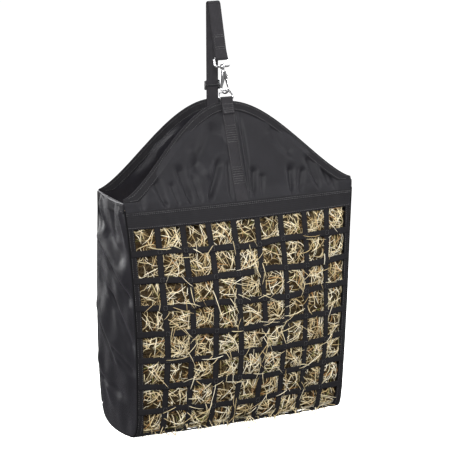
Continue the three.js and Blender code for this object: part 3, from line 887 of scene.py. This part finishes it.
BACK_FOLDS = [
    ((-130, 390), (-70, 180), 14, -4.2), ((90, 430), (150, 220), 12, -4.0), ((-20, 300), (14, 110), 16, -3.4),
    ((-190, 300), (-150, 90), 11, -3.6), ((185, 200), (150, 70), 11, -3.4),
    ((-60, 575), (-160, 470), 10, -3.2), ((70, 560), (176, 480), 10, -3.2),
    ((30, 180), (96, 80), 13, -3.0), ((-150, 330), (-110, 150), 10, 2.6),
    ((120, 400), (176, 230), 10, 2.6), ((-70, 150), (-130, 70), 11, -3.0), ((10, 470), (-60, 360), 14, -2.8),
]
BOX_STITCH = [
    (-10, 545, 10, 545), (10, 545, 10, 590), (10, 590, -10, 590), (-10, 590, -10, 545),
    (-10, 545, 10, 590), (10, 545, -10, 590),
]


def add_base():
    ts = rimmed(HEM_END - 1, HEM_END, SECTION_LENGTH - 1, 60, SECTION_LENGTH)
    u, t = grid(spread(110, 0.006) * 2 - 1, ts)
    edge = np.clip((1 - np.abs(u)) / 0.08, 0, 1) * np.clip((t - HEM_END) / 15, 0, 1)
    edge = edge * np.clip((SECTION_LENGTH - t) / 20, 0, 1)
    sag = (5.5 * (1 - u * u) + 1.8 * waves(u * 240, t, 55, 61)) * edge
    outer, inner = skin(u, t, 1.5 + sag), skin(u, t, 0.2 + sag)
    span = np.stack([u * 0.24, t / 1000], -1)
    made = slab(outer, inner, span).piece("base_cloth", NYLON, "bag", "nylon")
    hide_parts("base_panel")


add_net()
for side, word in ((-1, "left"), (1, "right")):
    add_gusset(side, word)
    add_edges(side, word)
add_back()
add_base()

# ---- hay ----


def pillow(x, t):
    """How far the hay stands out between the straps, from 0 under a strap to 1 in a cell."""
    i = np.clip(np.round(x / CELL + COLUMNS / 2), 1, COLUMNS - 1)
    dx = np.abs(x - upright_x(i, t))
    dx = np.where(np.abs(x) > 4.5 * CELL - 12, np.minimum(dx, 4.5 * CELL - 6 - np.abs(x)), dx)
    i = np.clip(np.round((t - BAND_END + GRID_WEB / 2) / CELL), 1, CROSS_STRAPS)
    dt = np.abs(t - cross_t(i, x * 2 / TOP_WIDTH))
    low = np.minimum(t - BAND_END, NET_END - t) + 4
    dt = np.minimum(dt, np.clip(low, 0, CELL))
    room = (CELL / 2 - GRID_WEB / 2) * 0.75
    return np.sqrt(np.clip((dx - 6.5) / room, 0, 1) * np.clip((dt - 6.5) / room, 0, 1))


def straws(build, paths, radius, up, tint, flat):
    """Many stems at once, four-sided and thinner towards one end: paths is (stems, points, 3), up the
    direction off the heap, flat each stem's squeeze."""
    count, n = paths.shape[:2]
    sides, taper = 4, 0.45
    along = unit(np.gradient(paths, axis=1))
    side = np.cross(along, up)
    side /= np.maximum(np.linalg.norm(side, axis=-1, keepdims=True), 1e-6)
    lift = np.cross(side, along)
    share = np.linspace(0, 1, n)
    thick = radius[:, None] * (1 - taper * share)[None] * (1 - 0.5 * (2 * share - 1) ** 8)[None]
    turn = np.linspace(0, 2 * np.pi, sides, endpoint=False) + 0.4
    ring = (side[:, :, None] * np.cos(turn)[None, None, :, None]
            + lift[:, :, None] * np.sin(turn)[None, None, :, None] * flat[:, None, None, None])
    points = paths[:, :, None] + ring * thick[:, :, None, None]
    size = n * sides
    last_ring = [size - 1, size - 2, size - 3, size - 4]
    faces = np.concatenate([quads(n, sides, False, True)[:, ::-1], [[0, 1, 2, 3], last_ring]])
    every = (np.arange(count) * size)[:, None, None] + faces[None]
    length = np.linalg.norm(np.diff(paths, axis=1), axis=-1).sum(1) / 1000
    wide = radius[:, None, None]
    down_stem = share[None, :, None] * length[:, None, None]
    span = stacked(down_stem + wide * 7, turn[None, None, :] / 40 + wide * 3)
    build.add(points, every.reshape(-1, 4), span, np.repeat(tint, size))


def straw_tints(rng, depth, light):
    """Mostly cream and gold, a few russet or green; stems lying deeper are tinted darker, as painted shade.
    """
    russet, green, odd_depth = 0.95, 1.0, 7
    # the depth term is painted shade: deeper stems are tinted darker
    tint = np.clip(rng.normal(light, 0.13, len(depth)) - depth * 0.03, 0.1, 0.86)
    odd = np.where(depth < odd_depth, rng.random(len(depth)), 0.5)
    return np.where(odd < 0.05, russet, np.where(odd > 0.965, green, tint))


def bent_stems(x0, t0, angle, turn, length, n, centred):
    """Evenly bent stems of n points: the distance along each, and its x and t. A stem starts at its
    place, or is laid about it if centred is 1."""
    s = (np.linspace(0, 1, n) - centred / 2)[None] * length[:, None]
    heading = angle[:, None] + turn[:, None] * s
    step = length[:, None] / (n - 1)
    dx, dt = np.cos(heading) * step, np.sin(heading) * step
    back = centred * n / 2
    return s, x0[:, None] + np.cumsum(dx, 1) - dx * back, t0[:, None] + np.cumsum(dt, 1) - dt * back


OFF_THE_NET = np.array([0, -1.0, 0.12])


def front_stems(build, rng, count, reach, depths, radii, light, bend=0.016):
    """Stems lying in the front of the hay, pressed into the cells by the straps."""
    n = 7
    x0 = rng.uniform(-226, 226, count)
    t0 = rng.uniform(BAND_END - 4, NET_END - 2, count)
    angle, turn = rng.uniform(0, 2 * np.pi, count), rng.normal(0, bend, count)
    length = rng.uniform(*reach, count)
    depth = depths[0] + (depths[1] - depths[0]) * rng.random(count) ** 1.3
    s, x, t = bent_stems(x0, t0, angle, turn, length, n, centred=1)
    x, t = np.clip(x, -227, 227), np.clip(t, BAND_END - 14, NET_END + 6)
    tilt = rng.normal(0, 0.06, count)[:, None] * s
    offset = -1.6 + 8.5 * pillow(x, t) - depth[:, None] + np.minimum(tilt, 0.8) - 0.02 * np.abs(s)
    offset = np.minimum(offset, -1.6 + 9.5 * pillow(x, t))
    paths = skin(x * 2 / TOP_WIDTH, t, offset)
    patch = 0.075 * waves(x0, t0, 70, 52)
    radius = rng.uniform(*radii, count)
    # light sets the mean tint; the low one given for the deep stems is painted shade
    tint = straw_tints(rng, depth, light + patch)
    straws(build, paths, radius, OFF_THE_NET, tint, rng.uniform(0.45, 1, count))


def crossing_stems(build, rng, count):
    """Long pale stems that have worked through and lie across the straps."""
    n = 9
    x0, t0 = rng.uniform(-205, 205, count), rng.uniform(BAND_END + 22, NET_END - 12, count)
    length = rng.uniform(16, 30, count) + 38 * rng.random(count) ** 2.5
    angle, turn = rng.uniform(0, np.pi, count), rng.normal(0, 0.009, count)
    s, x, t = bent_stems(x0, t0, angle, turn, length, n, centred=0)
    x, t = np.clip(x, -226, 226), np.clip(t, BAND_END + 2, NET_END + 8)
    share = s / length[:, None]
    rise = 6.0 + rng.uniform(0, 3.5, count)[:, None] * np.sin(np.pi * share)
    dive = rng.random(count)[:, None] < 0.6
    rise = np.where(dive, rise - 5.5 * (1 - smooth(share, 0, 0.3)) * pillow(x, t), rise)
    loose = (rng.random(count)[:, None] < 0.3) * smooth(share, 0.5, 1) * rng.uniform(2, 8, count)[:, None]
    paths = skin(x * 2 / TOP_WIDTH, t, rise + loose)
    tint = np.clip(rng.normal(0.68, 0.1, count), 0.42, 0.86)
    straws(build, paths, rng.uniform(0.5, 0.9, count), OFF_THE_NET, tint, rng.uniform(0.5, 1, count))


def top_stems(build, rng, count):
    """The loose top of the hay, seen through the mouth."""
    n = 7
    u0, a0 = rng.uniform(-0.92, 0.92, count), rng.uniform(0.05, 0.95, count)
    base = within(u0 * 0.97, a0, 0.115, 5)
    length = rng.uniform(26, 85, count)
    angle, turn = rng.uniform(0, 2 * np.pi, count), rng.normal(0, 0.014, count)
    s = (np.linspace(0, 1, n) - 0.5)[None] * length[:, None]
    heading = angle[:, None] + turn[:, None] * s
    x = base[:, None, 0] + s * np.cos(heading)
    y = base[:, None, 1] + s * np.sin(heading)
    dome = 12 * np.cos(np.clip(x / 240, -1, 1) * np.pi / 2)
    lift = rng.uniform(-12, 7, count)[:, None] + rng.normal(0, 0.16, count)[:, None] * s
    z = base[:, None, 2] + dome + lift
    x, y = np.clip(x, -228, 228), np.clip(y, -50, 78)
    paths = np.stack([x, y, z], -1)
    # stems lying lower in the heap get a darker tint, as painted shade
    depth = np.clip(4 - lift[:, 0], 0, 12)
    radius = rng.uniform(0.6, 1.25, count)
    tint = straw_tints(rng, depth, 0.62)
    straws(build, paths, radius, np.array([0, 0, 1.0]), tint, rng.uniform(0.5, 1, count))


def wisps(build, rng, count):
    """Curved ends hanging out of the lowest cells."""
    n = 8
    x0 = rng.uniform(-215, 215, count)
    t0 = rng.uniform(NET_END - 48, NET_END - 8, count)
    s = np.linspace(0, 1, n)[None]
    length = 12 + 28 * rng.random((count, 1)) ** 2
    start = skin(x0 * 2 / TOP_WIDTH, t0, 2.0)[:, None]
    out = np.array([0, -1.0, -0.15])
    lean = rng.normal(0, 0.6, count)[:, None]
    paths = start + out * (length * 0.42 * np.sin(s * 1.7))[..., None]
    paths = paths + np.stack([lean * length * s, 0 * s * length, -length * 0.75 * s**1.8], -1)
    paths[..., 2] = np.maximum(paths[..., 2], -12)
    radius, tint = rng.uniform(0.5, 0.95, count), rng.uniform(0.55, 0.85, count)
    straws(build, paths, radius, np.array([0, -1.0, 0.3]), tint, rng.uniform(0.5, 1, count))


def hay_core():
    """The mass behind the stems, rough all over."""
    us = np.linspace(-0.955, 0.955, 120)
    top = [(a, 0.13) for a in np.linspace(0, 1, 28)]
    back = [(1, d) for d in np.linspace(0.15, 1, 40)]
    foot = [(a, 1) for a in np.linspace(0.96, 0, 28)]
    front = [(0, d) for d in np.linspace(0.985, 0.14, 90)]
    a, d = np.array(top + back + foot + front).T
    points = within(us[:, None], a[None], d[None], 7.5)
    dome = 10 * np.cos(np.pi * us / 2)[:, None] * (np.sin(np.pi * a) * (d < 0.135))[None]
    points[..., 2] += dome
    rough = 2.2 * waves(points[..., 0], points[..., 2] + points[..., 1], 16, 3, 12)
    middle = points.mean(1, keepdims=True)
    away = points - middle
    points += away / np.linalg.norm(away, axis=-1, keepdims=True) * (rough - 1.5)[..., None]
    build = Build()
    build.add(points, quads(len(us), len(a), False, True))
    cap_ends(build, points, middle[:, 0])
    made = build.piece("hay_mass", CORE, "bag", "hay")
    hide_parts("hay_fill")


def add_hay():
    rng = np.random.default_rng(20)
    hay_core()
    deep = Build()
    # the deep stems get a dark mean tint as painted shade for the hay's depth; the near stems keep a pale one
    front_stems(deep, rng, 2300, (24, 62), (6, 13), (0.8, 1.5), 0.3)
    deep.piece("hay_stems_deep", STEMS, "bag", "hay")
    near = Build()
    front_stems(near, rng, 3100, (12, 40), (0, 6.5), (0.45, 1.0), 0.77, 0.026)
    near.piece("hay_stems_near", STEMS, "bag", "hay")
    over = Build()
    crossing_stems(over, rng, 210)
    wisps(over, rng, 110)
    over.piece("hay_stems_over", STEMS, "bag", "hay")
    top = Build()
    top_stems(top, rng, 2000)
    top.piece("hay_stems_top", STEMS, "bag", "hay")


add_hay()

# ---- the yoke ----

FOLD_Z = CORNER_Z + 1
FOLD_START, FOLD_END = point(0, -46, FOLD_Z - 12), point(0, -46, FOLD_Z + 10)


def front_cloth(x, s, offset):
    """The front above the net: s is the distance up from the mouth, below 0 on the bag."""
    x, s, offset = np.broadcast_arrays(*(np.asarray(v, float) for v in (x, s, offset)))
    on_bag = skin(x * 2 / TOP_WIDTH, np.maximum(-s, 0), offset + CLOTH / 2)
    return lerp(on_bag, yoke(x, CLOTH / 2 - offset, s), smooth(s, -9, 9)[..., None])


def yoke_height(x):
    return bell(x, YOKE_LENGTH - 6, 6)


YOKE_FOLDS = [
    ((-68, -14), (-33, 66), 6.5, -6.5), ((-104, -14), (-124, 60), 7, -5.5), ((-84, -14), (-96, 40), 5, -3.0),
    ((-155, -18), (-174, 40), 6, -4.5), ((-130, -14), (-142, 30), 4, -2.6), ((-96, 44), (-26, 132), 15, -6.0),
    ((108, -16), (110, 40), 5, -5.5), ((124, -14), (138, 34), 5, -3.6), ((168, -10), (148, 56), 7, -5.0),
    ((190, -6), (182, 30), 6, -3.0), ((28, -12), (34, 44), 5, -4.5), ((46, -10), (50, 30), 4, -2.2),
    ((118, 58), (76, 118), 12, -3.6), ((17.5, -6), (17.5, 146), 2.2, 3.4),
    ((22.5, -6), (22.5, 140), 2.6, -2.6),
    ((206, -30), (196, 30), 6, -2.6), ((-206, -30), (-204, 28), 6, -2.6), ((-22, -16), (-16, 60), 5, -2.6),
    ((-56, 30), (-90, 96), 12, 2.6),
]


def yoke_relief(x, s):
    folds = 1.45 * sum(crease(x, s, *line) for line in YOKE_FOLDS)
    folds = folds + 0.9 * waves(x, s * 0.4, 80, 15) + 0.16 * waves(x, s * 0.6, 26, 16)
    puffed = 5.5 * np.sin(np.pi * np.clip(np.abs(x) / 225, 0, 1)) * np.sin(np.pi * np.clip(s / 150, 0, 1))
    from_edge = np.clip((yoke_height(x) - s) / 22, 0, 1)
    from_strap = smooth(np.abs(x), 11.5, 17)
    foot = smooth(s, -YOKE_END - 1, -YOKE_END + 10)
    return (folds * foot + puffed) * from_edge * from_strap


def add_yoke_cloth():
    xs = spread(300, 0.002) * (TOP_WIDTH - 1) - (TOP_WIDTH - 1) / 2
    rows = spread(120, 0.006)
    x, r = grid(xs, rows)
    s = lerp(-(YOKE_END + 3.0), yoke_height(x) - 0.6, r)
    relief = yoke_relief(x, s)
    tuck = -0.8 * (1 - smooth(s, -YOKE_END - 3, -YOKE_END + 2))
    outer, inner = front_cloth(x, s, 0.55 + relief + tuck), front_cloth(x, s, -0.55 + relief + tuck)
    made = slab(outer, inner, stacked(x, s) / 1000).piece("yoke_cloth", NYLON, None, "nylon")
    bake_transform(made)
    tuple(FOLD_START)
    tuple(FOLD_END)
    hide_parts("front_yoke", "yoke_foot")


def binding(build, edge, place, front, back, foot, seed, thin=None):
    """Tape folded over a bell-shaped edge: edge(x) is its height, front and back how far its faces stand
    off the panel's middle, foot the lowest it reaches, and thin(x) the share of front that is left where
    a strap crosses it. Returns the lines of its two rows of stitches."""
    xs = np.linspace(-238.5, 238.5, 260)
    h = edge(xs)
    slope = np.gradient(h, xs)
    long = np.hypot(1, slope)
    room = np.minimum(1, np.maximum(h - foot, 1.5) * long / TAPE)
    wave = 0.35 * waves(xs, 0, 17, seed)
    profile = [(-1.6, 0), (-1.0, 0.8), (1.0, 1.0), (4, 0.92), (10, 1.0), (16, 0.95), (17.6, 0.75), (18, 0.2),
               (17.6, -0.1), (16, -0.8), (4, -1.0), (1, -1.0), (-1.0, -0.8)]
    rings = []
    for w, side in profile:
        w = w * room if w > 0 else w + 0 * room
        reach = np.where(side > 0, front, back) * np.abs(side)
        if thin is not None and side > 0:
            reach = reach * thin(xs)
        off = np.sign(side) * reach + wave * (w > 2) * (side > 0)
        rings.append(place(xs + slope / long * w, h - w / long, off))
    points = np.stack(rings, 1)
    gone = np.concatenate([[0], np.cumsum(np.hypot(np.diff(xs), np.diff(h)))]) / 1000
    across = np.array([w for w, _ in profile]) / 1000
    build.add(points, quads(len(xs), len(profile), False, True), np.stack(grid(gone, across), -1))
    cap_ends(build, points, points.mean(1))
    rows = []
    for w in (3.2, 14.6):
        keep = room > 0.5
        rows.append(place(xs + slope / long * w * room, h - w * room / long, front + 0.35 + 0 * xs)[keep])
    return rows


def add_yoke_binding():
    build = Build()
    rows = binding(build, lambda x: yoke_height(x) + 0.4, lambda x, z, off: yoke(x, CLOTH / 2 - off, z),
                   2.3, 1.9, 1.0, 8)
    made = build.piece("yoke_tape", BINDING, "front_flap", "webbing")
    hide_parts("yoke_binding")
    for row in rows:
        stitches(Seams.on("front_flap"), row, YOKE_OUT)


def add_back_binding():
    build = Build()
    rows = binding(build, lambda x: bell(x, BACK_RISE, CORNER_Z) + 0.3,
                   lambda x, z, off: stacked(x, BACK_Y - CLOTH / 2 - off, z), 2.2, 1.3, CORNER_Z - 4, 9,
                   thin=lambda x: lerp(0.3, 1, smooth(np.abs(x), 12.8, 17)))
    made = build.piece("back_tape", BINDING, "bag", "webbing", flip=True)
    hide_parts("left_back_binding", "right_back_binding")
    for row in rows:
        for side in (-1, 1):
            stitches(Seams.on("bag"), row[row[:, 0] * side > 14], [0, -1, 0])


def add_centre_strap():
    xs = columns(STRAP, 2.2) * STRAP
    ss = np.linspace(-(YOKE_END + 7), YOKE_LENGTH - 1, 170)
    x, s = grid(xs, ss)
    dome = 0.2 * (1 - (2 * x / STRAP) ** 4)
    below, under = 1 - smooth(s, -14, 6), 1 - smooth(s, -YOKE_END - 3, -YOKE_END + 2)
    lift = lerp(0.55 + 0.5 * below + 0.35 * waves(0 * x, s, 46, 4), 0.05, under)
    outer, inner = front_cloth(x, s, lift + WEB + dome), front_cloth(x, s, lift)
    made = slab(outer, inner, stacked(s, x) / 1000).piece("centre_web", STRAPPING, None, "webbing")
    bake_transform(made)
    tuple(FOLD_START)
    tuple(FOLD_END)
    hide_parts("centre_strap", "centre_strap_foot")
    flap = Seams.on("front_flap")
    for edge in (-1, 1):
        up = np.linspace(14, YOKE_LENGTH - 4, 90)
        stitches(flap, front_cloth(edge * 10.6, up, 2.3), YOKE_OUT)
    for s in (*np.arange(96, 128, 4.5), *np.arange(16, 52, 4.5)):
        row = np.linspace(-9.6, 9.6, 9)
        stitches(flap, front_cloth(row, s, 2.25), YOKE_OUT, *HEAVY_SEWING)


def strap_line(points):
    """An even path through corners already rounded, in y and z."""
    points, step = np.asarray(points, float), 1.6
    gone = distances(points)
    even = np.linspace(0, gone[-1], max(8, int(gone[-1] / step)))
    return np.stack([np.interp(even, gone, column) for column in points.T], -1)


def arc(centre, radius, start, end, count=16):
    a = np.radians(np.linspace(start, end, count))
    return [(centre[0] + radius * math.cos(v), centre[1] + radius * math.sin(v)) for v in a]


def strap_piece(path, place, width, thick, dome=0.15):
    """Webbing along a path in y and z, of a frame given by place."""
    path = strap_line(path)
    along = unit(np.gradient(path, axis=0))
    out = stacked(-along[:, 1], along[:, 0])
    xs = columns(width, 2.2) * width
    x, i = grid(xs, np.arange(len(path)))
    half = thick / 2 + dome * (1 - (2 * x / width) ** 4)
    gone = np.linspace(0, 1, len(path)) * np.linalg.norm(np.diff(path, axis=0), axis=1).sum() / 1000
    sides = [place(x, path[i, 0] + k * out[i, 0] * half, path[i, 1] + k * out[i, 1] * half) for k in (1, -1)]
    return slab(*sides, stacked(gone[i], x / 1000))


def add_ring_tab():
    r = RING_WIRE + 1.15
    path = ([(BAR_Y - 1.0, 150), (BAR_Y - 0.9, 172), (BAR_Y - 1.6, 175)] + arc((BAR_Y, BAR_Z), r, 222, -38)
            + [(BAR_Y + 1.4, 175), (BAR_Y + 0.55, 172), (BAR_Y + 0.4, 151)])
    build = strap_piece(path, yoke, 24, 1.1)
    made = build.piece("ring_tab_web", STRAPPING, "front_flap", "webbing", flip=True)
    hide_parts("d_ring_tab")
    flap = Seams.on("front_flap")
    for z in (153, 157, 161, 169):
        row = np.linspace(-9.5, 9.5, 9)
        stitches(flap, yoke(row, BAR_Y - 1.75, z), YOKE_OUT, *ROW_SEWING)
    for edge in (-1, 1):
        up = np.linspace(152, 171, 8)
        stitches(flap, yoke(edge * 10.2, BAR_Y - 1.7, up), YOKE_OUT, *EDGE_SEWING)


# ---- the hanging strap and the metal ----

LEG_TOP = pull(0, 0, LEG_LENGTH)
LOOP = (LEG_TOP[1] + LOOP_R * math.cos(PULL_LEAN), LEG_TOP[2] - LOOP_R * math.sin(PULL_LEAN))


def add_hanging_strap():
    path = [(BACK_LEG_Y, BACK_LEG_FOOT)] + arc(LOOP, LOOP_R, 0, 180 - math.degrees(PULL_LEAN), 22)
    back_leg = strap_piece(path, stacked, STRAP, STRAP_THICK)
    made = back_leg.piece("strap_back_leg", STRAPPING, "bag", "webbing")
    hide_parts("hanging_strap")
    bag = Seams.on("bag")
    for x0, z0, x1, z1 in BOX_STITCH:
        f = np.linspace(0, 1, 8)
        line = stacked(lerp(x0, x1, f), BACK_LEG_Y - 1.0, lerp(z0, z1, f))
        stitches(bag, line, [0, -1, 0], *BOX_SEWING)
    r = 3.8
    leg = ([(-0.9, LEG_LENGTH), (-0.9, EYE_Z + 16), (-2.2, EYE_Z + 8)] + arc((0, EYE_Z), r, 150, 390, 20)
           + [(2.2, EYE_Z + 8), (0.9, EYE_Z + 16), (0.9, LEG_LENGTH)])
    front_leg = strap_piece(leg, pull, STRAP, STRAP_THICK, 0.1)
    made = front_leg.piece("strap_leg", STRAPPING, None, "webbing", flip=True)
    tuple(to_row(pull(0, 0, LEG_LENGTH - 22)))
    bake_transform(made)
    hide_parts("strap_front_leg")
    drop = Seams.on("strap_drop")
    for z in (EYE_Z + 17, EYE_Z + 21, EYE_Z + 40, EYE_Z + 44):
        row = np.linspace(-10, 10, 9)
        stitches(drop, pull(row, -1.95, z), PULL_OUT, *ROW_SEWING)
    for edge in (-1, 1):
        up = np.linspace(EYE_Z + 18, EYE_Z + 43, 10)
        stitches(drop, pull(edge * 10, -1.95, up), PULL_OUT, *EDGE_SEWING)


def block(build, place, low, high, r, steps=4):
    """A box with edges rounded to r."""
    low, high = np.array(low, float), np.array(high, float)
    centre, half = (low + high) / 2, (high - low) / 2
    r = min(r, *(half * 0.98))
    points, faces, count = [], [], 0
    for axis in range(3):
        u, v = [k for k in range(3) if k != axis]
        inset = r * (1 - np.cos(np.linspace(0, np.pi / 2, steps)))
        marks = [np.concatenate([inset - half[k], half[k] - inset[::-1]]) for k in (u, v)]
        a, b = grid(*marks)
        for sign in (-1, 1):
            q = np.empty((*a.shape, 3))
            q[..., u], q[..., v], q[..., axis] = a, b, sign * half[axis]
            face = quads(*a.shape)
            flip = (sign > 0) == (axis == 1)
            points.append(q.reshape(-1, 3))
            faces.append((face[:, ::-1] if flip else face) + count)
            count += a.size
    q = np.concatenate(points)
    inner = np.clip(q, -half + r, half - r)
    way = q - inner
    q = inner + way / np.maximum(np.linalg.norm(way, axis=1, keepdims=True), 1e-9) * r
    _, first, back = np.unique(np.round(q, 5), axis=0, return_index=True, return_inverse=True)
    faces = np.asarray(back).reshape(-1)[np.concatenate(faces)]
    q = q[first] + centre
    return build.add(place(*q.T), faces)


def add_adjuster():
    """A moulded slide: two outer bars behind the strap and a ribbed bar in front of it."""
    y = lerp(BACK_LEG_Y, LOOP[0] + LOOP_R, (ADJUSTER_Z - BACK_LEG_FOOT) / (LOOP[1] - BACK_LEG_FOOT))
    face, rail, half = STRAP_THICK / 2 + 0.4, STRAP / 2 + 0.6, 16

    def place(x, y0, z):
        return stacked(x, y0 + y, z + ADJUSTER_Z)

    build = Build()
    for side in (-1, 1):
        x0, x1 = sorted((side * rail, side * half))
        block(build, place, (x0, -face - 2, -9), (x1, face + 2, 9), 1.3)
        middle = side * 7.25
        block(build, place, (-half + 0.3, face, middle - 1.75), (half - 0.3, face + 2, middle + 1.75), 0.8)
    block(build, place, (-half + 0.3, -face - 2, -2), (half - 0.3, -face, 2), 0.8)
    for k in range(-6, 7):
        block(build, place, (k * 1.7 - 0.45, -face - 2.35, -1.5), (k * 1.7 + 0.45, -face - 1.7, 1.5), 0.3, 3)
    made = build.piece("slide_adjuster", PLASTIC, "adjuster", "plastic")
    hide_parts("strap_adjuster")


def add_ring():
    a = np.radians(np.linspace(0, 180, 40))
    arch = np.stack([RING_HALF * np.cos(a), 2 + (RING_RISE - 2) * np.sin(a)], -1)
    corner = 2.2
    left = arc((corner - RING_HALF, corner), corner, 180, 270, 6)
    right = [(-x, z) for x, z in left[::-1]]
    bar = [(x, 0.0) for x in np.linspace(-RING_HALF + corner + 1, RING_HALF - corner - 1, 12)]
    x, z = np.array([*arch, *left, *bar, *right]).T
    path = yoke(x, BAR_Y, BAR_Z + z)
    wire = tube(Build(), path, RING_WIRE, YOKE_OUT, 18, closed=True)
    made = wire.piece("d_ring_wire", CHROME, "ring", "chrome")
    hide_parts("d_ring")


def add_snap_eye():
    """The rectangular eye, with the collar that the hook's stem turns in."""
    half, foot, r = EYE_HALF - 1.7, EYE_Z - 16.6, 3.6
    corners = [(half - r, foot + r, -90), (half - r, EYE_Z - r, 0),
               (r - half, EYE_Z - r, 90), (r - half, foot + r, 180)]
    x, z = np.array([p for x, z, start in corners for p in arc((x, z), r, start, start + 90, 9)]).T
    radius = np.where(z < EYE_Z - 12, 2.1, 1.8)
    eye = tube(Build(), pull(x, 0, z), radius, PULL_OUT, 16, closed=True)
    low = EYE_Z - 17.2
    collar = [(2.5, -3.4), (4.2, -3.4), (4.7, -2.6), (4.4, -1.6), (4.9, -0.8),
              (5.1, 0.6), (4.8, 2.2), (4.1, 3.0), (2.5, 3.2)]
    lathe(eye, pull, [(r, low + z) for r, z in collar], 28)
    made = eye.piece("snap_eye_wire", CHROME, "strap_drop", "chrome")
    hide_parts("snap_eye")


def add_snap_hook():
    """The hook and its shank, with the swivel's stem and head."""
    hook = Build()
    bend = np.radians(np.linspace(183, 378, 40))
    y = [*(HOOK_R * np.cos(bend)), 8.0, 6.6, 4.6, 2.4, 0.9, 0.2, 0.0]
    z = [*(HOOK_Z + HOOK_R * np.sin(bend)), 9.5, 13.5, 19.5, 27.0, 34.0, 39.0, 41.5]
    half = [1.5, 1.9, *([2.0] * 36), 2.0, 2.05, 2.5, 3.7, 5.2, 5.7, 5.3, 4.6, 3.4]
    wide = [1.5, 1.9, *([2.0] * 36), 2.05, 2.2, 2.6, 3.1, 3.6, 3.7, 3.7, 3.5, 3.0]
    out = snap(1, 0, 0) - snap(0, 0, 0)
    tube(hook, snap(0, y, z), half, out, 20, np.array(wide) / half)
    head = [(2.2, -13.4), (3.4, -13.2), (3.7, -12.4), (3.4, -11.4), (2.2, -10.9), (0.3, -10.8)]
    stem = [(3.4, 38), (3.5, 40.2), (2.9, 41.4), (2.2, 42)]
    lathe(hook, snap, stem + [(r, EYE_Z + z) for r, z in head], 24)
    made = hook.piece("snap_hook_body", CHROME, "snap", "chrome")
    cut_slot(made)
    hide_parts("snap_hook")


def add_trigger():
    trigger = plate("snap_gate", TRIGGER, 3.0, 0.5)
    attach(trigger, "trigger")
    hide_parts("snap_trigger")
    half_pin = [(0.2, 4.5), (0.9, 4.4), (1.5, 4.05), (1.6, 3.75), (1.1, 3.6)]
    profile = [(r, -z) for r, z in half_pin] + half_pin[::-1]
    pin = lathe(Build(), lambda x, y, z: snap(z, PIN[0] + x, PIN[1] + y), profile, 16)
    made = pin.piece("gate_pin", CHROME, "snap", "chrome", flip=True)
    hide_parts("trigger_pin")


TRIGGER = [
    (-1.4, 36.6), (-5, 36.6), (-7.6, 30), (-11.4, 25), (-11, 21.5), (-8.8, 21),
    (-10.9, 8), (-10.9, 4.4), (-7.3, 4.4), (-5.4, 13), (-2.6, 24),
]


def plate(name, outline, width, bevel):
    """A flat lever cut to an outline in the hook's y and z, its edges eased."""
    bm = bmesh.new()
    rings = []
    for x in (-width / 2, width / 2):
        rings.append([bm.verts.new(to_row(snap(x, y, z))) for y, z in outline])
    bm.faces.new(rings[0])
    bm.faces.new(rings[1][::-1])
    for i in range(len(outline)):
        j = (i + 1) % len(outline)
        bm.faces.new([rings[0][j], rings[0][i], rings[1][i], rings[1][j]])
    bmesh.ops.recalc_face_normals(bm, faces=bm.faces[:])
    bmesh.ops.bevel(bm, geom=bm.edges[:], offset=bevel / 1000, segments=3, affect="EDGES", profile=0.5)
    mesh = bpy.data.meshes.new(name)
    bm.to_mesh(mesh)
    bm.free()
    mesh.shade_smooth()
    made = bpy.data.objects.new(name, mesh)
    bpy.context.scene.collection.objects.link(made)
    mesh.materials.append(CHROME)
    return made


def cut_slot(made):
    """The slot in the hook's shank that the trigger swings in."""
    cutter = block(Build(), snap, (-1.9, -20, 13.5), (1.9, 3.0, 38), 0.5).piece("slot_cutter", CHROME)
    trim = made.modifiers.new("slot", "BOOLEAN")
    trim.operation, trim.object, trim.solver = "DIFFERENCE", cutter, "EXACT"
    graph = bpy.context.evaluated_depsgraph_get()
    mesh = bpy.data.meshes.new_from_object(made.evaluated_get(graph))
    made.modifiers.clear()
    made.data = mesh
    bpy.data.objects.remove(cutter)


add_yoke_cloth()
add_yoke_binding()
add_back_binding()
add_centre_strap()
add_ring_tab()
add_hanging_strap()
add_adjuster()
add_ring()
add_snap_eye()
add_snap_hook()
add_trigger()
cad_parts["trigger_spring"].data.materials.clear()
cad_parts["trigger_spring"].data.materials.append(CHROME)

for body, build in Seams.builds.items():
    build.piece(f"stitching_{body}", THREAD, body, "webbing")
